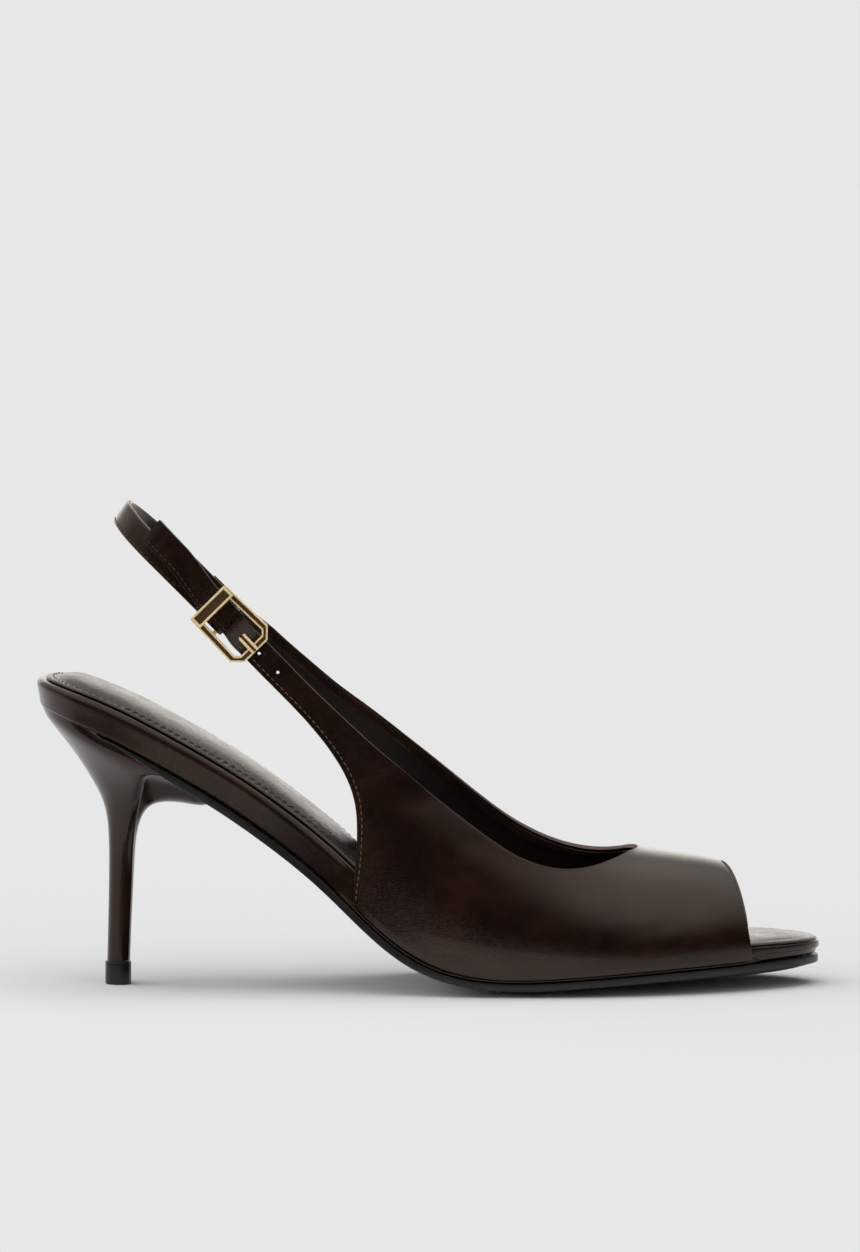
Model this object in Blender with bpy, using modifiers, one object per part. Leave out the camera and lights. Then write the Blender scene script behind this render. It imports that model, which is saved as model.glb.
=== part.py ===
# Slingback sandal, right shoe, as an assembly of separate parts.
# Metres, +Z up, +X to the toe, -Y to the outer (lateral) side, origin on the floor under the
# middle of the shoe's length. The tables are in millimetres.
import math

import bmesh
import bpy
import numpy as np
from mathutils import Matrix, Vector

# Driving dimensions, in millimetres
MM = 0.001
GAP = 0.3                    # clearance between pieces that meet
WALL = 1.4                   # leather with its lining
OVERLAY = 0.7                # how far the vamp stands proud of the board's side
HEEL_END = -113.8            # back of the board
TOE_END = 113.7              # tip of the board
HEEL_ARC_X = -98.0           # where the round back of the seat begins
TOE_ARC_X = 80.0             # where the round toe begins
TOE_ROUNDNESS = 4.0          # power of the toe's taper, 2 is an ellipse
ARC_SPAN = math.radians(60)  # half of each end that is meshed as an end row
LEAN_START = -92.0           # behind this the board's side turns upright
OUTSOLE_START = -96.0        # where the outsole feathers in under the seat
OUTSOLE_FULL = -70.0         # where it has its full thickness
OUTSOLE_THICK = 2.2
OUTSOLE_FEATHER = 0.4
SOCK_INSET = 2.6
SOCK_THICK = 1.3
SOCK_DOME = 1.7
SOCK_RAISE = 0.3             # its middle is this much higher than its edge elsewhere
TOE_EASE = 0.35              # extra room between board and vamp round the toe's tight curve
LASTING_DEPTH = 1.2          # height of the vamp's lower edge above the groove
UNDERCUT = 0.6               # how far the board's side leans in at its foot
FLANK = 0.75                 # how far the vamp's side swells out above its foot
FLANK_HEIGHT = 8.5           # where it swells most
VAMP_BIAS = 1.45             # keeps the rows of the vamp forward at its sides
WING_TURN = 10               # the row of each wing from which it is drawn to the ankle strap
SEAT_DOME_START = -112.0     # the sock's dome rises from here
SEAT_DOME_FULL = -84.0       # and has its full height from here
TOP_LIFT_HEIGHT = 6.7
TOP_LIFT_PROUD = 0.5
HOLE_RADIUS = 0.8
SLOT_DEPTH = 6.0             # length of the block that cuts the sling's slot
PUNCH_DEPTH = 4.6            # length of the drums that cut the strap's holes

# Ankle loop: a stadium in a plane that slopes down to the front
LOOP_CENTRE = (-68.45, 0.0, 116.85)
LOOP_RADIUS = 29.0
LOOP_SLOPE = math.radians(45.5)
LOOP_FLARE = math.radians(12.5)
STRAP_HALF = 3.9             # half width of the perforated strap
SLING_HALF = 3.65
SLING_THICK = 1.8
FOLD_THICK = 1.0
BAR_ALONG = 58.4             # loop length from the back centre to the buckle's centre bar
BUCKLE_RISE = 1.6            # the strap and buckle sit a little above the sling
SLING_RISE = 0.9             # the sling's folded end is between the two
SLING_RISE_SPAN = (14.0, 46.0)   # where along the sling it rises
LAP_RISE_SPAN = (2.0, 18.0)      # where the inner lap rises from the sling to the wing
STRAP_BOW = 0.9              # inside the frame and the keeper the strap lies this much higher
STRAP_BOW_SPAN = (2.6, 5.6)      # and comes back to the buckle's middle here
TAIL_LIFT = 1.9              # the tail lies higher still behind the keeper
TAIL_LIFT_SPAN = (-22.0, -8.0)
SLING_LAP = 4.0              # the sling's inner end, forward of the centre bar's place
SLING_ARC = 45.0             # its round part ends this far from the back centre
SLING_BEND = 3.0             # its fold begins this far behind the centre bar
SLING_THIN_SPAN = (42.4, 48.9)   # where its layers thin out towards the fold
BAR_OUT = 1.4                # centre bar's middle, outward from the sling's middle
BAR_RADIUS = 0.6

# Sole: a row for each station along the foot. groove is the height of the line between board
# and outsole at the lateral edge, lift is how much higher the medial edge is.
SOLE_COLUMNS = ("x", "groove", "lateral", "medial", "board", "lift")
SOLE = (
    (-113.8, 81.3, 24.5, 23.5, 8.4, 0.6),
    (-106.0, 79.2, 24.5, 23.5, 8.6, 0.6),
    (-98.0, 75.9, 24.5, 23.5, 8.8, 0.6),
    (-90.0, 72.3, 26.8, 25.8, 8.9, 0.7),
    (-80.0, 66.9, 27.4, 26.2, 8.9, 0.9),
    (-70.0, 61.2, 26.9, 24.4, 8.9, 1.2),
    (-60.0, 55.1, 26.0, 21.8, 8.9, 1.6),
    (-50.0, 48.1, 25.5, 19.6, 8.9, 2.2),
    (-40.0, 40.7, 26.4, 19.2, 8.8, 2.8),
    (-30.0, 32.5, 28.8, 20.8, 8.6, 2.8),
    (-20.0, 22.9, 31.6, 24.0, 8.2, 2.2),
    (-10.0, 14.0, 34.4, 27.6, 7.8, 1.4),
    (0.0, 8.2, 36.8, 31.2, 7.2, 0.8),
    (12.0, 4.9, 38.6, 35.2, 6.6, 0.3),
    (26.0, 4.1, 39.5, 38.0, 6.0, 0.0),
    (40.0, 4.7, 39.2, 38.6, 5.6, 0.0),
    (55.0, 5.7, 37.2, 37.2, 5.4, 0.0),
    (70.0, 6.7, 33.0, 34.0, 5.3, 0.0),
    (83.0, 7.4, 27.8, 31.2, 5.1, 0.0),
    (96.0, 8.0, 19.9, 26.3, 4.8, 0.0),
    (106.0, 8.4, 15.0, 22.4, 4.3, 0.0),
    (114.0, 8.6, 12.0, 19.4, 4.0, 0.0),
)

# Last: the arch that the upper follows. crest is the height of its top, above the open throat
# the height that it would have, and square is 2 for an ellipse and more for flatter sides.
LAST_COLUMNS = ("x", "crest", "crest_y", "square")
LAST = (
    (-60.0, 165.0, 0.0, 3.4),
    (-40.0, 142.0, 0.0, 3.2),
    (-20.0, 114.0, 0.0, 2.9),
    (-5.0, 92.0, 0.3, 2.6),
    (10.0, 76.0, 0.8, 2.5),
    (25.0, 63.0, 1.2, 2.4),
    (40.0, 51.0, 1.6, 2.3),
    (50.0, 44.6, 1.8, 2.25),
    (59.0, 40.6, 2.0, 2.2),
    (72.0, 38.2, 2.5, 2.15),
    (84.0, 36.0, 3.0, 2.1),
    (96.0, 31.0, 3.2, 2.05),
)

# Crown of the outsole's underside, from its edge to its middle
CROWN_COLUMNS = ("x", "crown")
CROWN = (
    (-96.0, 0.0),
    (-62.0, 0.0),
    (-20.0, 1.0),
    (0.0, 1.6),
    (14.0, 2.3),
    (50.0, 2.7),
    (70.0, 2.8),
    (88.0, 2.9),
    (102.0, 2.0),
    (114.0, 0.5),
)

# Vamp in front of the throat
VAMP = (
    # foot_x, crest_x: x of the lower edge and of the crest
    (93.8, 84.4),
    (91.5, 83.3),
    (88.0, 81.3),
    (83.0, 78.0),
    (77.0, 74.0),
    (71.0, 69.5),
    (65.0, 65.3),
    (59.5, 61.0),
)

# Wings behind the throat, from the throat back: the lower end of each row and its point on the
# topline. low_z None means the lower end is on the board's side.
LATERAL_WING = (
    # low_x, low_z, top_x, top_z
    (54.0, None, 60.2, 39.95),
    (48.0, None, 58.6, 40.0),
    (41.5, None, 56.2, 39.4),
    (34.5, None, 53.3, 38.6),
    (27.0, None, 49.8, 37.7),
    (19.0, None, 45.0, 36.8),
    (10.0, None, 39.0, 36.7),
    (0.0, None, 33.0, 37.9),
    (-10.0, None, 26.5, 40.3),
    (-17.0, None, 20.5, 43.9),
    (-22.2, None, 13.5, 49.0),
    (-21.3, 36.4, 6.2, 54.5),
    (-20.7, 45.0, 0.4, 59.1),
    (-20.7, 50.8, -4.8, 63.3),
    (-21.3, 56.6, -9.7, 67.4),
    (-23.3, 62.5, -15.2, 71.7),
    (-26.5, 68.3, -19.6, 75.8),
    (-30.6, 74.1, -24.4, 80.3),
    (-35.5, 79.9, -29.7, 85.3),
    (-39.9, 84.6, -34.5, 90.0),
)
MEDIAL_WING = (
    # low_x, low_z, top_x, top_z
    (54.0, None, 60.2, 39.95),
    (48.0, None, 58.7, 39.5),
    (41.5, None, 56.6, 38.5),
    (34.5, None, 53.6, 37.7),
    (27.0, None, 50.0, 37.2),
    (20.0, None, 45.5, 37.3),
    (12.0, None, 40.0, 38.2),
    (2.0, None, 34.5, 40.0),
    (-7.0, None, 29.0, 42.6),
    (-15.0, None, 23.6, 45.7),
    (-21.0, None, 17.0, 50.7),
    (-20.4, 37.0, 10.6, 56.0),
    (-20.0, 45.5, 4.5, 61.1),
    (-20.2, 51.5, -1.0, 65.6),
    (-21.0, 57.5, -6.5, 69.8),
    (-23.0, 63.5, -11.5, 73.7),
    (-26.0, 69.5, -17.0, 77.8),
    (-30.0, 75.5, -22.5, 81.6),
    (-35.0, 81.0, -28.4, 86.0),
    (-39.9, 85.6, -34.0, 90.9),
)

# Perforated strap and tail: along is from the centre bar, positive to the toe, out is from the
# sling's middle to the middle of the strap.
STRAP = (
    # along, out
    (20.7, 0.9),
    (17.0, 0.8),
    (14.0, 0.7),
    (11.0, 0.7),
    (8.6, 1.5),
    (6.4, 2.6),
    (4.2, 3.5),
    (2.0, 4.1),
    (0.0, 4.3),
    (-2.0, 3.95),
    (-4.0, 3.3),
    (-6.0, 2.95),
    (-8.0, 2.85),
    (-11.0, 2.7),
    (-14.5, 2.2),
    (-18.0, 1.95),
    (-22.0, 1.95),
    (-26.0, 1.95),
    (-30.0, 1.95),
    (-33.4, 1.95),
)
STRAP_HOLES = (1.3, 13.4, 21.1)
PRONG_HOLE = (6.1, 4.2, 3.1)     # place along the strap, length, width

# Medial end of the upper, where it laps over the sling
MEDIAL_LAP = ((20.0, 1.2), (15.0, 1.6), (10.0, 1.95), (4.0, 1.95), (-2.0, 1.95), (-8.0, 1.95))

# Folded end of the sling, on the outer side of the centre bar, back from it
FOLD = ((-2.0, 2.45), (-4.0, 1.8), (-6.0, 1.4), (-9.2, 1.35))

# Heel: rings from the seat down. back and front are the ends of each ring's chord in side view,
# bulge lifts its middle, corner and valley are where the side wall ends and where the recess
# beside the tongue is deepest.
HEEL_COLUMNS = ("back_x", "back_z", "front_x", "front_z", "half", "corner_x", "corner_y",
                "valley_x", "valley_y", "tongue", "bulge")
HEEL_BACK_ANGLES = (0, 14, 28, 42, 57, 73, 90)
HEEL_FULLNESS = 0.87         # power of the round back, 1 is an ellipse
HEEL_WIDEST = 0.7            # where the ring is widest, as a share from its back to its corner
TONGUE_SHARES = ((0.42, 1.0), (0.80, 0.72), (0.97, 0.32))   # of its reach and half width
SEAT_MARGIN = 0.4            # the heel's seat stays this far inside the sole's edge
HEEL = (
    (-113.0, 80.4, -62.8, 52.0, 27.0, -75.5, 25.0, -72.0, 16.0, 10.0, 2.9),
    (-112.0, 79.2, -63.6, 51.7, 26.6, -78.5, 24.4, -79.5, 16.0, 9.6, 2.8),
    (-109.8, 76.6, -67.5, 52.0, 24.6, -80.9, 21.8, -82.4, 14.5, 9.0, 2.5),
    (-107.0, 73.4, -72.0, 52.9, 21.6, -81.6, 18.6, -83.6, 12.6, 8.2, 2.0),
    (-104.0, 69.5, -76.3, 53.2, 17.8, -82.2, 15.0, -84.0, 10.4, 7.2, 1.4),
    (-100.6, 64.6, -79.8, 52.6, 13.8, -82.9, 11.2, -84.4, 8.0, 6.0, 0.8),
    (-97.8, 60.0, -82.0, 51.0, 10.8, -83.6, 8.2, -84.7, 6.0, 4.8, 0.4),
    (-95.4, 55.8, -83.4, 48.6, 8.4, -84.3, 6.2, -84.8, 4.6, 3.6, 0.2),
    (-93.6, 50.8, -84.4, 45.4, 6.4, -85.0, 4.8, -85.0, 3.6, 2.8, 0.1),
    (-92.8, 44.0, -85.1, 41.4, 5.0, -85.7, 3.9, -85.5, 2.9, 2.1, 0.0),
    (-92.8, 32.0, -85.6, 32.0, 4.1, -86.4, 3.2, -86.0, 2.4, 1.7, 0.0),
    (-93.1, 18.0, -86.3, 18.0, 4.0, -87.1, 3.0, -86.7, 2.2, 1.6, 0.0),
    (-93.4, 7.0, -86.7, 7.0, 4.0, -87.5, 3.0, -87.1, 2.2, 1.6, 0.0),
)

# Buckle, in its own plane: along as above, across the strap, and out
FRAME_HALF = 7.1
FRAME_HALF_FRONT = 7.6
FRAME_BAR = 2.1
FRAME_BACK = -7.6
FRAME_FRONT = 12.2
FRAME_CHAMFER = 3.0
FRAME_NOTCH = 1.2            # chamfer of its inner corners
FRAME_BEVEL = 0.35
PLATE_BEVEL = 0.3
CHEEK_INSET = (0.4, 0.3)     # of the keeper's cheeks from its back and front edges
CHEEK_SIDES = (0.15, 0.3)    # from the frame's opening, and from the plate's ends
LUG_HALF = 1.1               # half length of the lugs that carry the centre bar
LUG_SIDES = (0.2, 0.4)       # from the frame's opening, and from its outside
LUG_DROP = 1.5 * BAR_RADIUS      # the lugs reach this far in past the centre bar
AXLE_INSET = 0.7                 # the centre bar ends this far inside the frame's sides
MEET = 0.4                   # how deep the buckle's members run into each other
FRAME_LOW = 1.7
FRAME_HIGH = 3.5
PLATE_BACK = -7.95
PLATE_FRONT = -4.05
PLATE_HALF = 6.7
PLATE_LOW = 4.3
PLATE_HIGH = 5.3
PRONG_HALF = 1.2
PRONG_THICK = 0.9
PRONG_RING = 1.35
PRONG = ((4.2, 1.9), (6.2, 2.95), (8.2, 3.95), (10.2, 4.35), (12.0, 4.3))
PRONG_ARC = (100, 330, 8)        # its ring's first and last angle, and points
SLOT = (0.6, 3.2, 1.9)           # middle along, half length, half width of the sling's slot

# Mesh steps, closer where the shape turns faster
SOLE_COLS = 8
UPPER_COLS = 9
SEAT_COLS = 4
FOOTBED_STATIONS = (-98, -91, -83, -75, -67, -59, -51, -44, -37, -33, -29, -27.6, -23, -18, -12, -6,
                    0, 7, 15, 24, 33, 42, 51, 60, 68, 76, 83, 89, 94.8, 96, 100)
SOCK_STATIONS = (-98, -90, -81, -72, -63, -54, -45, -37, -30, -23, -16, -9, -2, 6, 15, 25, 35, 45,
                 55, 65, 74, 82, 89, 95, 100)
OUTSOLE_STATIONS = (-96, -90, -84, -77, -70, -62, -54, -47, -40, -33, -27, -21, -15, -9, -3, 4, 12,
                    21, 31, 41, 51, 61, 70, 78, 85, 91, 96, 100)


def curve(xs, ys):
    """A smooth curve through a few points, flat beyond its ends."""
    xs = np.array(xs, float)
    ys = np.array(ys, float)
    step = np.diff(xs)
    rise = np.diff(ys) / step
    slope = np.empty_like(ys)
    slope[1:-1] = (rise[:-1] * step[1:] + rise[1:] * step[:-1]) / (step[1:] + step[:-1])
    slope[0] = rise[0]
    slope[-1] = rise[-1]

    def value(x):
        x = np.clip(x, xs[0], xs[-1])
        i = np.clip(np.searchsorted(xs, x, side="right") - 1, 0, len(step) - 1)
        t = (x - xs[i]) / step[i]
        return (ys[i] * (1 + 2 * t) * (1 - t) ** 2 + slope[i] * step[i] * t * (1 - t) ** 2
                + ys[i + 1] * t * t * (3 - 2 * t) - slope[i + 1] * step[i] * t * t * (1 - t))

    return value


def column(table, names, name):
    """The named column of a table, as a curve over its first column."""
    k = names.index(name)
    rows = sorted(table)
    return curve([row[0] for row in rows], [row[k] for row in rows])


def smoothstep(x, low, high):
    t = np.clip((x - low) / (high - low), 0.0, 1.0)
    return t * t * (3 - 2 * t)


groove_z = column(SOLE, SOLE_COLUMNS, "groove")
lateral_y = column(SOLE, SOLE_COLUMNS, "lateral")
medial_y = column(SOLE, SOLE_COLUMNS, "medial")
board_thick = column(SOLE, SOLE_COLUMNS, "board")
medial_lift = column(SOLE, SOLE_COLUMNS, "lift")
crest_z = column(LAST, LAST_COLUMNS, "crest")
crest_y = column(LAST, LAST_COLUMNS, "crest_y")
last_square = column(LAST, LAST_COLUMNS, "square")
crown_depth = column(CROWN, CROWN_COLUMNS, "crown")


def sole_normal(x):
    """Direction away from the sole in side view, upright at the back of the seat."""
    slope = (groove_z(x + 0.5) - groove_z(x - 0.5)) * smoothstep(x, HEEL_END, LEAN_START)
    length = np.sqrt(1 + slope * slope)
    return -slope / length, 1 / length


def on_sole(x, y, depth):
    """The point at a distance from the groove line, measured square to it."""
    across = (y + lateral_y(x)) / (lateral_y(x) + medial_y(x))
    nx, nz = sole_normal(x)
    return (x + depth * nx, y, groove_z(x) + medial_lift(x) * np.clip(across, 0, 1) + depth * nz)


def outline_edge(x, side):
    """Distance from the middle line to the sole's edge, rounded off at the toe."""
    middle = (medial_y(x) - lateral_y(x)) / 2
    half = (medial_y(x) + lateral_y(x)) / 2
    t = np.clip((x - TOE_ARC_X) / (TOE_END - TOE_ARC_X), 0, 1)
    return middle + side * half * np.sqrt(1 - t ** TOE_ROUNDNESS)


def toe_arc(angles):
    """Front end of the outline, from the lateral to the medial side."""
    x = TOE_ARC_X + (TOE_END - TOE_ARC_X) * np.cos(angles) ** (2 / TOE_ROUNDNESS)
    middle = (medial_y(x) - lateral_y(x)) / 2
    half = (medial_y(x) + lateral_y(x)) / 2
    return np.stack([x, middle + half * np.sin(angles)], axis=-1)


def heel_arc(angles):
    """Round back end of the outline, from the lateral to the medial side."""
    middle = (medial_y(HEEL_ARC_X) - lateral_y(HEEL_ARC_X)) / 2
    half = (medial_y(HEEL_ARC_X) + lateral_y(HEEL_ARC_X)) / 2
    x = HEEL_ARC_X + (HEEL_END - HEEL_ARC_X) * np.cos(angles)
    return np.stack([x, middle + half * np.sin(angles)], axis=-1)


def outline(stations, cols, feathered):
    """Lateral side, toe row, medial side and heel row of the sole's outline."""
    row = np.linspace(-ARC_SPAN, ARC_SPAN, cols + 1)
    toe = toe_arc(row)
    stations = np.array(stations, float)
    sides = [np.stack([stations, outline_edge(stations, side)], axis=-1) for side in (-1, 1)]
    if feathered:
        heel = np.linspace(sides[0][0], sides[1][0], cols + 1)
    else:
        heel = heel_arc(row)
        turn = np.linspace(ARC_SPAN, math.pi / 2, 4)[:3]
        sides = [np.concatenate([heel_arc(sign * turn), side])
                 for sign, side in zip((-1, 1), sides)]
    sides = [np.concatenate([side, toe[end:end + 1]]) for end, side in zip((0, cols), sides)]
    return sides[0], toe, sides[1], heel


def perimeter(lateral, toe, medial, heel):
    return np.concatenate([lateral, toe[1:-1], medial[::-1], heel[-2:0:-1]])


def inset_loop(loop, inset):
    """The outline moved inwards, by one distance or by one for each of its points."""
    ahead = np.roll(loop, -1, axis=0) - np.roll(loop, 1, axis=0)
    ahead /= np.linalg.norm(ahead, axis=1)[:, None]
    inward = np.stack([-ahead[:, 1], ahead[:, 0]], axis=-1)
    return loop + inward * np.reshape(inset, (-1, 1))


def fill_grid(loop, rows, cols):
    """Points of a grid inside the outline, whose edge is the outline itself."""
    lateral = loop[:rows]
    toe = loop[rows - 1:rows + cols]
    medial = loop[rows + cols - 1:2 * rows + cols - 1][::-1]
    heel = np.concatenate([loop[2 * rows + cols - 2:], loop[:1]])[::-1]
    u = np.linspace(0, 1, cols + 1)[None, :, None]
    v = np.linspace(0, 1, rows)[:, None, None]
    grid = lateral[:, None] * (1 - u) + medial[:, None] * u
    for end, weight in ((heel, (1 - v) ** 8), (toe, v ** 8)):
        bow = end[None] - (end[0] * (1 - u) + end[-1] * u)
        grid = grid + weight * bow
    return grid


def mesh_object(name, verts, faces, material, collection):
    """A mesh object from points in millimetres, with its faces turned outwards."""
    mesh = bpy.data.meshes.new(name)
    mesh.from_pydata([tuple(float(c) * MM for c in v) for v in verts], [], faces)
    bm = bmesh.new()
    bm.from_mesh(mesh)
    bmesh.ops.recalc_face_normals(bm, faces=bm.faces)
    bm.to_mesh(mesh)
    bm.free()
    obj = bpy.data.objects.new(name, mesh)
    collection.objects.link(obj)
    mesh.materials.append(material)
    mesh.shade_smooth()
    mesh.set_sharp_from_angle(angle=math.radians(40))
    return obj


def sole_plate(name, stations, levels, low_depth, high_depth, material, collection,
               feathered=False, floor=False):
    """A closed plate over the sole's outline.

    levels are (inset, depth) from the bottom edge to the top edge, where both may be arrays over
    the outline. low_depth and high_depth give the depth of the bottom and the top inside it.
    """
    sides = outline(stations, SOLE_COLS, feathered)
    base = perimeter(*sides)
    rows = len(sides[0])
    count = len(base)
    verts = []
    faces = []

    def add(points, depth):
        start = len(verts)
        for (x, y), d in zip(points, np.broadcast_to(depth, len(points))):
            px, py, pz = on_sole(x, y, d)
            verts.append((px, py, max(pz, 0.0) if floor else pz))
        return start

    starts = []
    for inset, depth in levels:
        starts.append(add(inset_loop(base, inset), depth))
    for low, high in zip(starts, starts[1:]):
        for k in range(count):
            n = (k + 1) % count
            faces.append((low + k, low + n, high + n, high + k))
    for start, (inset, depth), inner in ((starts[0], levels[0], low_depth),
                                         (starts[-1], levels[-1], high_depth)):
        loop = inset_loop(base, inset)
        grid = fill_grid(loop, rows, SOLE_COLS)
        edge = {}
        for k in range(rows):
            edge[(k, 0)] = k
            edge[(k, SOLE_COLS)] = 2 * rows + SOLE_COLS - 2 - k
        for c in range(1, SOLE_COLS):
            edge[(rows - 1, c)] = rows - 1 + c
            edge[(0, c)] = count - c
        ids = {}
        for r in range(rows):
            for c in range(SOLE_COLS + 1):
                if (r, c) in edge:
                    ids[(r, c)] = start + edge[(r, c)]
                else:
                    x, y = grid[r, c]
                    u = 2 * c / SOLE_COLS - 1
                    ids[(r, c)] = add([(x, y)], inner(x, u))
        for r in range(rows - 1):
            for c in range(SOLE_COLS):
                faces.append((ids[(r, c)], ids[(r + 1, c)], ids[(r + 1, c + 1)], ids[(r, c + 1)]))
    return mesh_object(name, verts, faces, material, collection)


def covered(x):
    """1 where the vamp covers the board's side, 0 where the side shows."""
    return smoothstep(x, -29.0, -27.6) * (1 - smoothstep(x, 94.8, 96.0))


def build_footbed(material, collection):
    base = perimeter(*outline(FOOTBED_STATIONS, SOLE_COLS, False))
    top = board_thick(base[:, 0])
    hidden = covered(base[:, 0])
    ease = TOE_EASE * smoothstep(base[:, 0], 50.0, 72.0)
    rebate = (WALL + GAP - OVERLAY + ease) * hidden
    lean = UNDERCUT * (1 - hidden)
    lip = np.full(len(base), LASTING_DEPTH - GAP)
    levels = [(lean + 0.8, GAP / 2), (lean + 0.2, GAP / 2 + 0.4), (lean * 0.85, lip),
              (rebate + lean * 0.85, lip + 0.05), (rebate, top - 1.1), (rebate + 0.35, top - 0.3),
              (rebate + 1.2, top)]
    return sole_plate("footbed", FOOTBED_STATIONS, levels, lambda x, u: GAP / 2,
                      lambda x, u: board_thick(x), material, collection)


def seat_dome(x):
    """Extra height of the sock's middle under the heel of the foot."""
    return (SOCK_DOME * smoothstep(x, SEAT_DOME_START, SEAT_DOME_FULL)
            * (1 - smoothstep(x, -60.0, -20.0)))


def build_sock(material, collection):
    base = perimeter(*outline(SOCK_STATIONS, SOLE_COLS, False))
    low = board_thick(base[:, 0]) + GAP
    levels = [(SOCK_INSET + 0.3, low), (SOCK_INSET, low + 0.4), (SOCK_INSET + 0.2, low + 0.9),
              (SOCK_INSET + 0.9, low + SOCK_THICK)]

    def dome(x, u):
        height = seat_dome(x) + SOCK_RAISE
        return board_thick(x) + GAP + SOCK_THICK + height * (1 - abs(u) ** 2.5)

    return sole_plate("sock", SOCK_STATIONS, levels, lambda x, u: board_thick(x) + GAP, dome,
                      material, collection)


def outsole_thick(x):
    full = smoothstep(x, OUTSOLE_START, OUTSOLE_FULL)
    return OUTSOLE_FEATHER + (OUTSOLE_THICK - OUTSOLE_FEATHER) * full


def build_outsole(material, collection):
    base = perimeter(*outline(OUTSOLE_STATIONS, SOLE_COLS, True))
    low = -GAP / 2 - outsole_thick(base[:, 0])
    levels = [(0.9, low), (0.4, low + 0.15), (0.4, np.full(len(base), -GAP / 2))]

    def underside(x, u):
        return -GAP / 2 - outsole_thick(x) - crown_depth(x) * (1 - u * u)

    return sole_plate("outsole", OUTSOLE_STATIONS, levels, underside, lambda x, u: -GAP / 2,
                      material, collection, feathered=True, floor=True)


def seat_depth(x):
    """Depth of the heel's seat: under the board at the back, under the outsole in front."""
    ahead = smoothstep(x, OUTSOLE_START - 3.0, OUTSOLE_START - 0.6)
    return -GAP / 2 - ahead * (outsole_thick(x) + GAP)


def heel_half_ring(row, side):
    """One side of a ring, from its back to the tip of its tongue, as (x, y)."""
    v = dict(zip(HEEL_COLUMNS, row))
    widest = v["back_x"] + HEEL_WIDEST * (v["corner_x"] - v["back_x"])
    points = []
    for angle in np.radians(HEEL_BACK_ANGLES):
        x = widest + (v["back_x"] - widest) * math.cos(angle) ** HEEL_FULLNESS
        points.append((x, v["half"] * math.sin(angle) ** HEEL_FULLNESS))
    points.append(((widest + v["corner_x"]) / 2, (v["half"] * 2 + v["corner_y"]) / 3))
    points.append((v["corner_x"], v["corner_y"]))
    points.append(((v["corner_x"] + 2 * v["valley_x"]) / 3, (v["corner_y"] + v["valley_y"]) / 2))
    points.append((v["valley_x"], v["valley_y"]))
    reach = v["front_x"] - v["valley_x"]
    for share, width in TONGUE_SHARES:
        points.append((v["valley_x"] + share * reach, v["tongue"] * width))
    points.append((v["front_x"], 0.0))
    return [(x, side * y) for x, y in points]


def heel_ring(row, seat):
    """A whole ring in three dimensions; the first one lies on the seat."""
    v = dict(zip(HEEL_COLUMNS, row))
    lateral = heel_half_ring(row, -1)
    medial = heel_half_ring(row, 1)
    ring = []
    for x, y in lateral + medial[-2:0:-1]:
        if seat:
            ring.append(seat_point(x, y))
        else:
            t = (x - v["back_x"]) / (v["front_x"] - v["back_x"])
            z = v["back_z"] + (v["front_z"] - v["back_z"]) * t + v["bulge"] * 4 * t * (1 - t)
            ring.append((x, y, z))
    return ring


def seat_point(x, y):
    depth = seat_depth(x)
    nx = sole_normal(x)[0]
    px, py, pz = on_sole(x - depth * nx, y, depth)
    edge = -lateral_y(x) if y < 0 else medial_y(x)
    limit = abs(edge) - SEAT_MARGIN
    return (px, float(np.clip(py, -limit, limit)), pz)


def build_heel(material, collection):
    rings = [heel_ring(row, k == 0) for k, row in enumerate(HEEL)]
    count = len(rings[0])
    half = count // 2
    verts = [p for ring in rings for p in ring]
    faces = []
    for r in range(len(rings) - 1):
        for k in range(count):
            n = (k + 1) % count
            a, b = r * count, (r + 1) * count
            faces.append((a + k, a + n, b + n, b + k))
    cols = SEAT_COLS
    strips = {}
    for k in range(half + 1):
        left = k
        right = (count - k) % count
        if left == right:
            strips[k] = [left] * (cols + 1)
            continue
        ids = [left]
        for c in range(1, cols):
            t = c / cols
            x = verts[left][0] * (1 - t) + verts[right][0] * t
            y = verts[left][1] * (1 - t) + verts[right][1] * t
            ids.append(len(verts))
            verts.append(seat_point(x, y))
        strips[k] = ids + [right]
    for k in range(half):
        for c in range(cols):
            quad = (strips[k][c], strips[k + 1][c], strips[k + 1][c + 1], strips[k][c + 1])
            faces.append(tuple(dict.fromkeys(quad)))
    base = (len(rings) - 1) * count
    faces.append(tuple(range(base, base + count)))
    return mesh_object("heel", verts, faces, material, collection)


def build_top_lift(material, collection):
    """The last ring of the heel, a little larger, down to the floor."""
    ring = [(x, y) for x, y, z in heel_ring(HEEL[-1], False)]
    middle_x = sum(x for x, y in ring) / len(ring)
    half = HEEL[-1][HEEL_COLUMNS.index("half")]
    scale = (half + TOP_LIFT_PROUD) / half
    ring = [(middle_x + (x - middle_x) * scale, y * scale) for x, y in ring]
    count = len(ring)
    verts = [(x, y, z) for z in (0.0, TOP_LIFT_HEIGHT) for x, y in ring]
    faces = [(k, (k + 1) % count, count + (k + 1) % count, count + k) for k in range(count)]
    faces.append(tuple(range(count)))
    faces.append(tuple(range(count, 2 * count)))
    return mesh_object("top_lift", verts, faces, material, collection)


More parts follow.
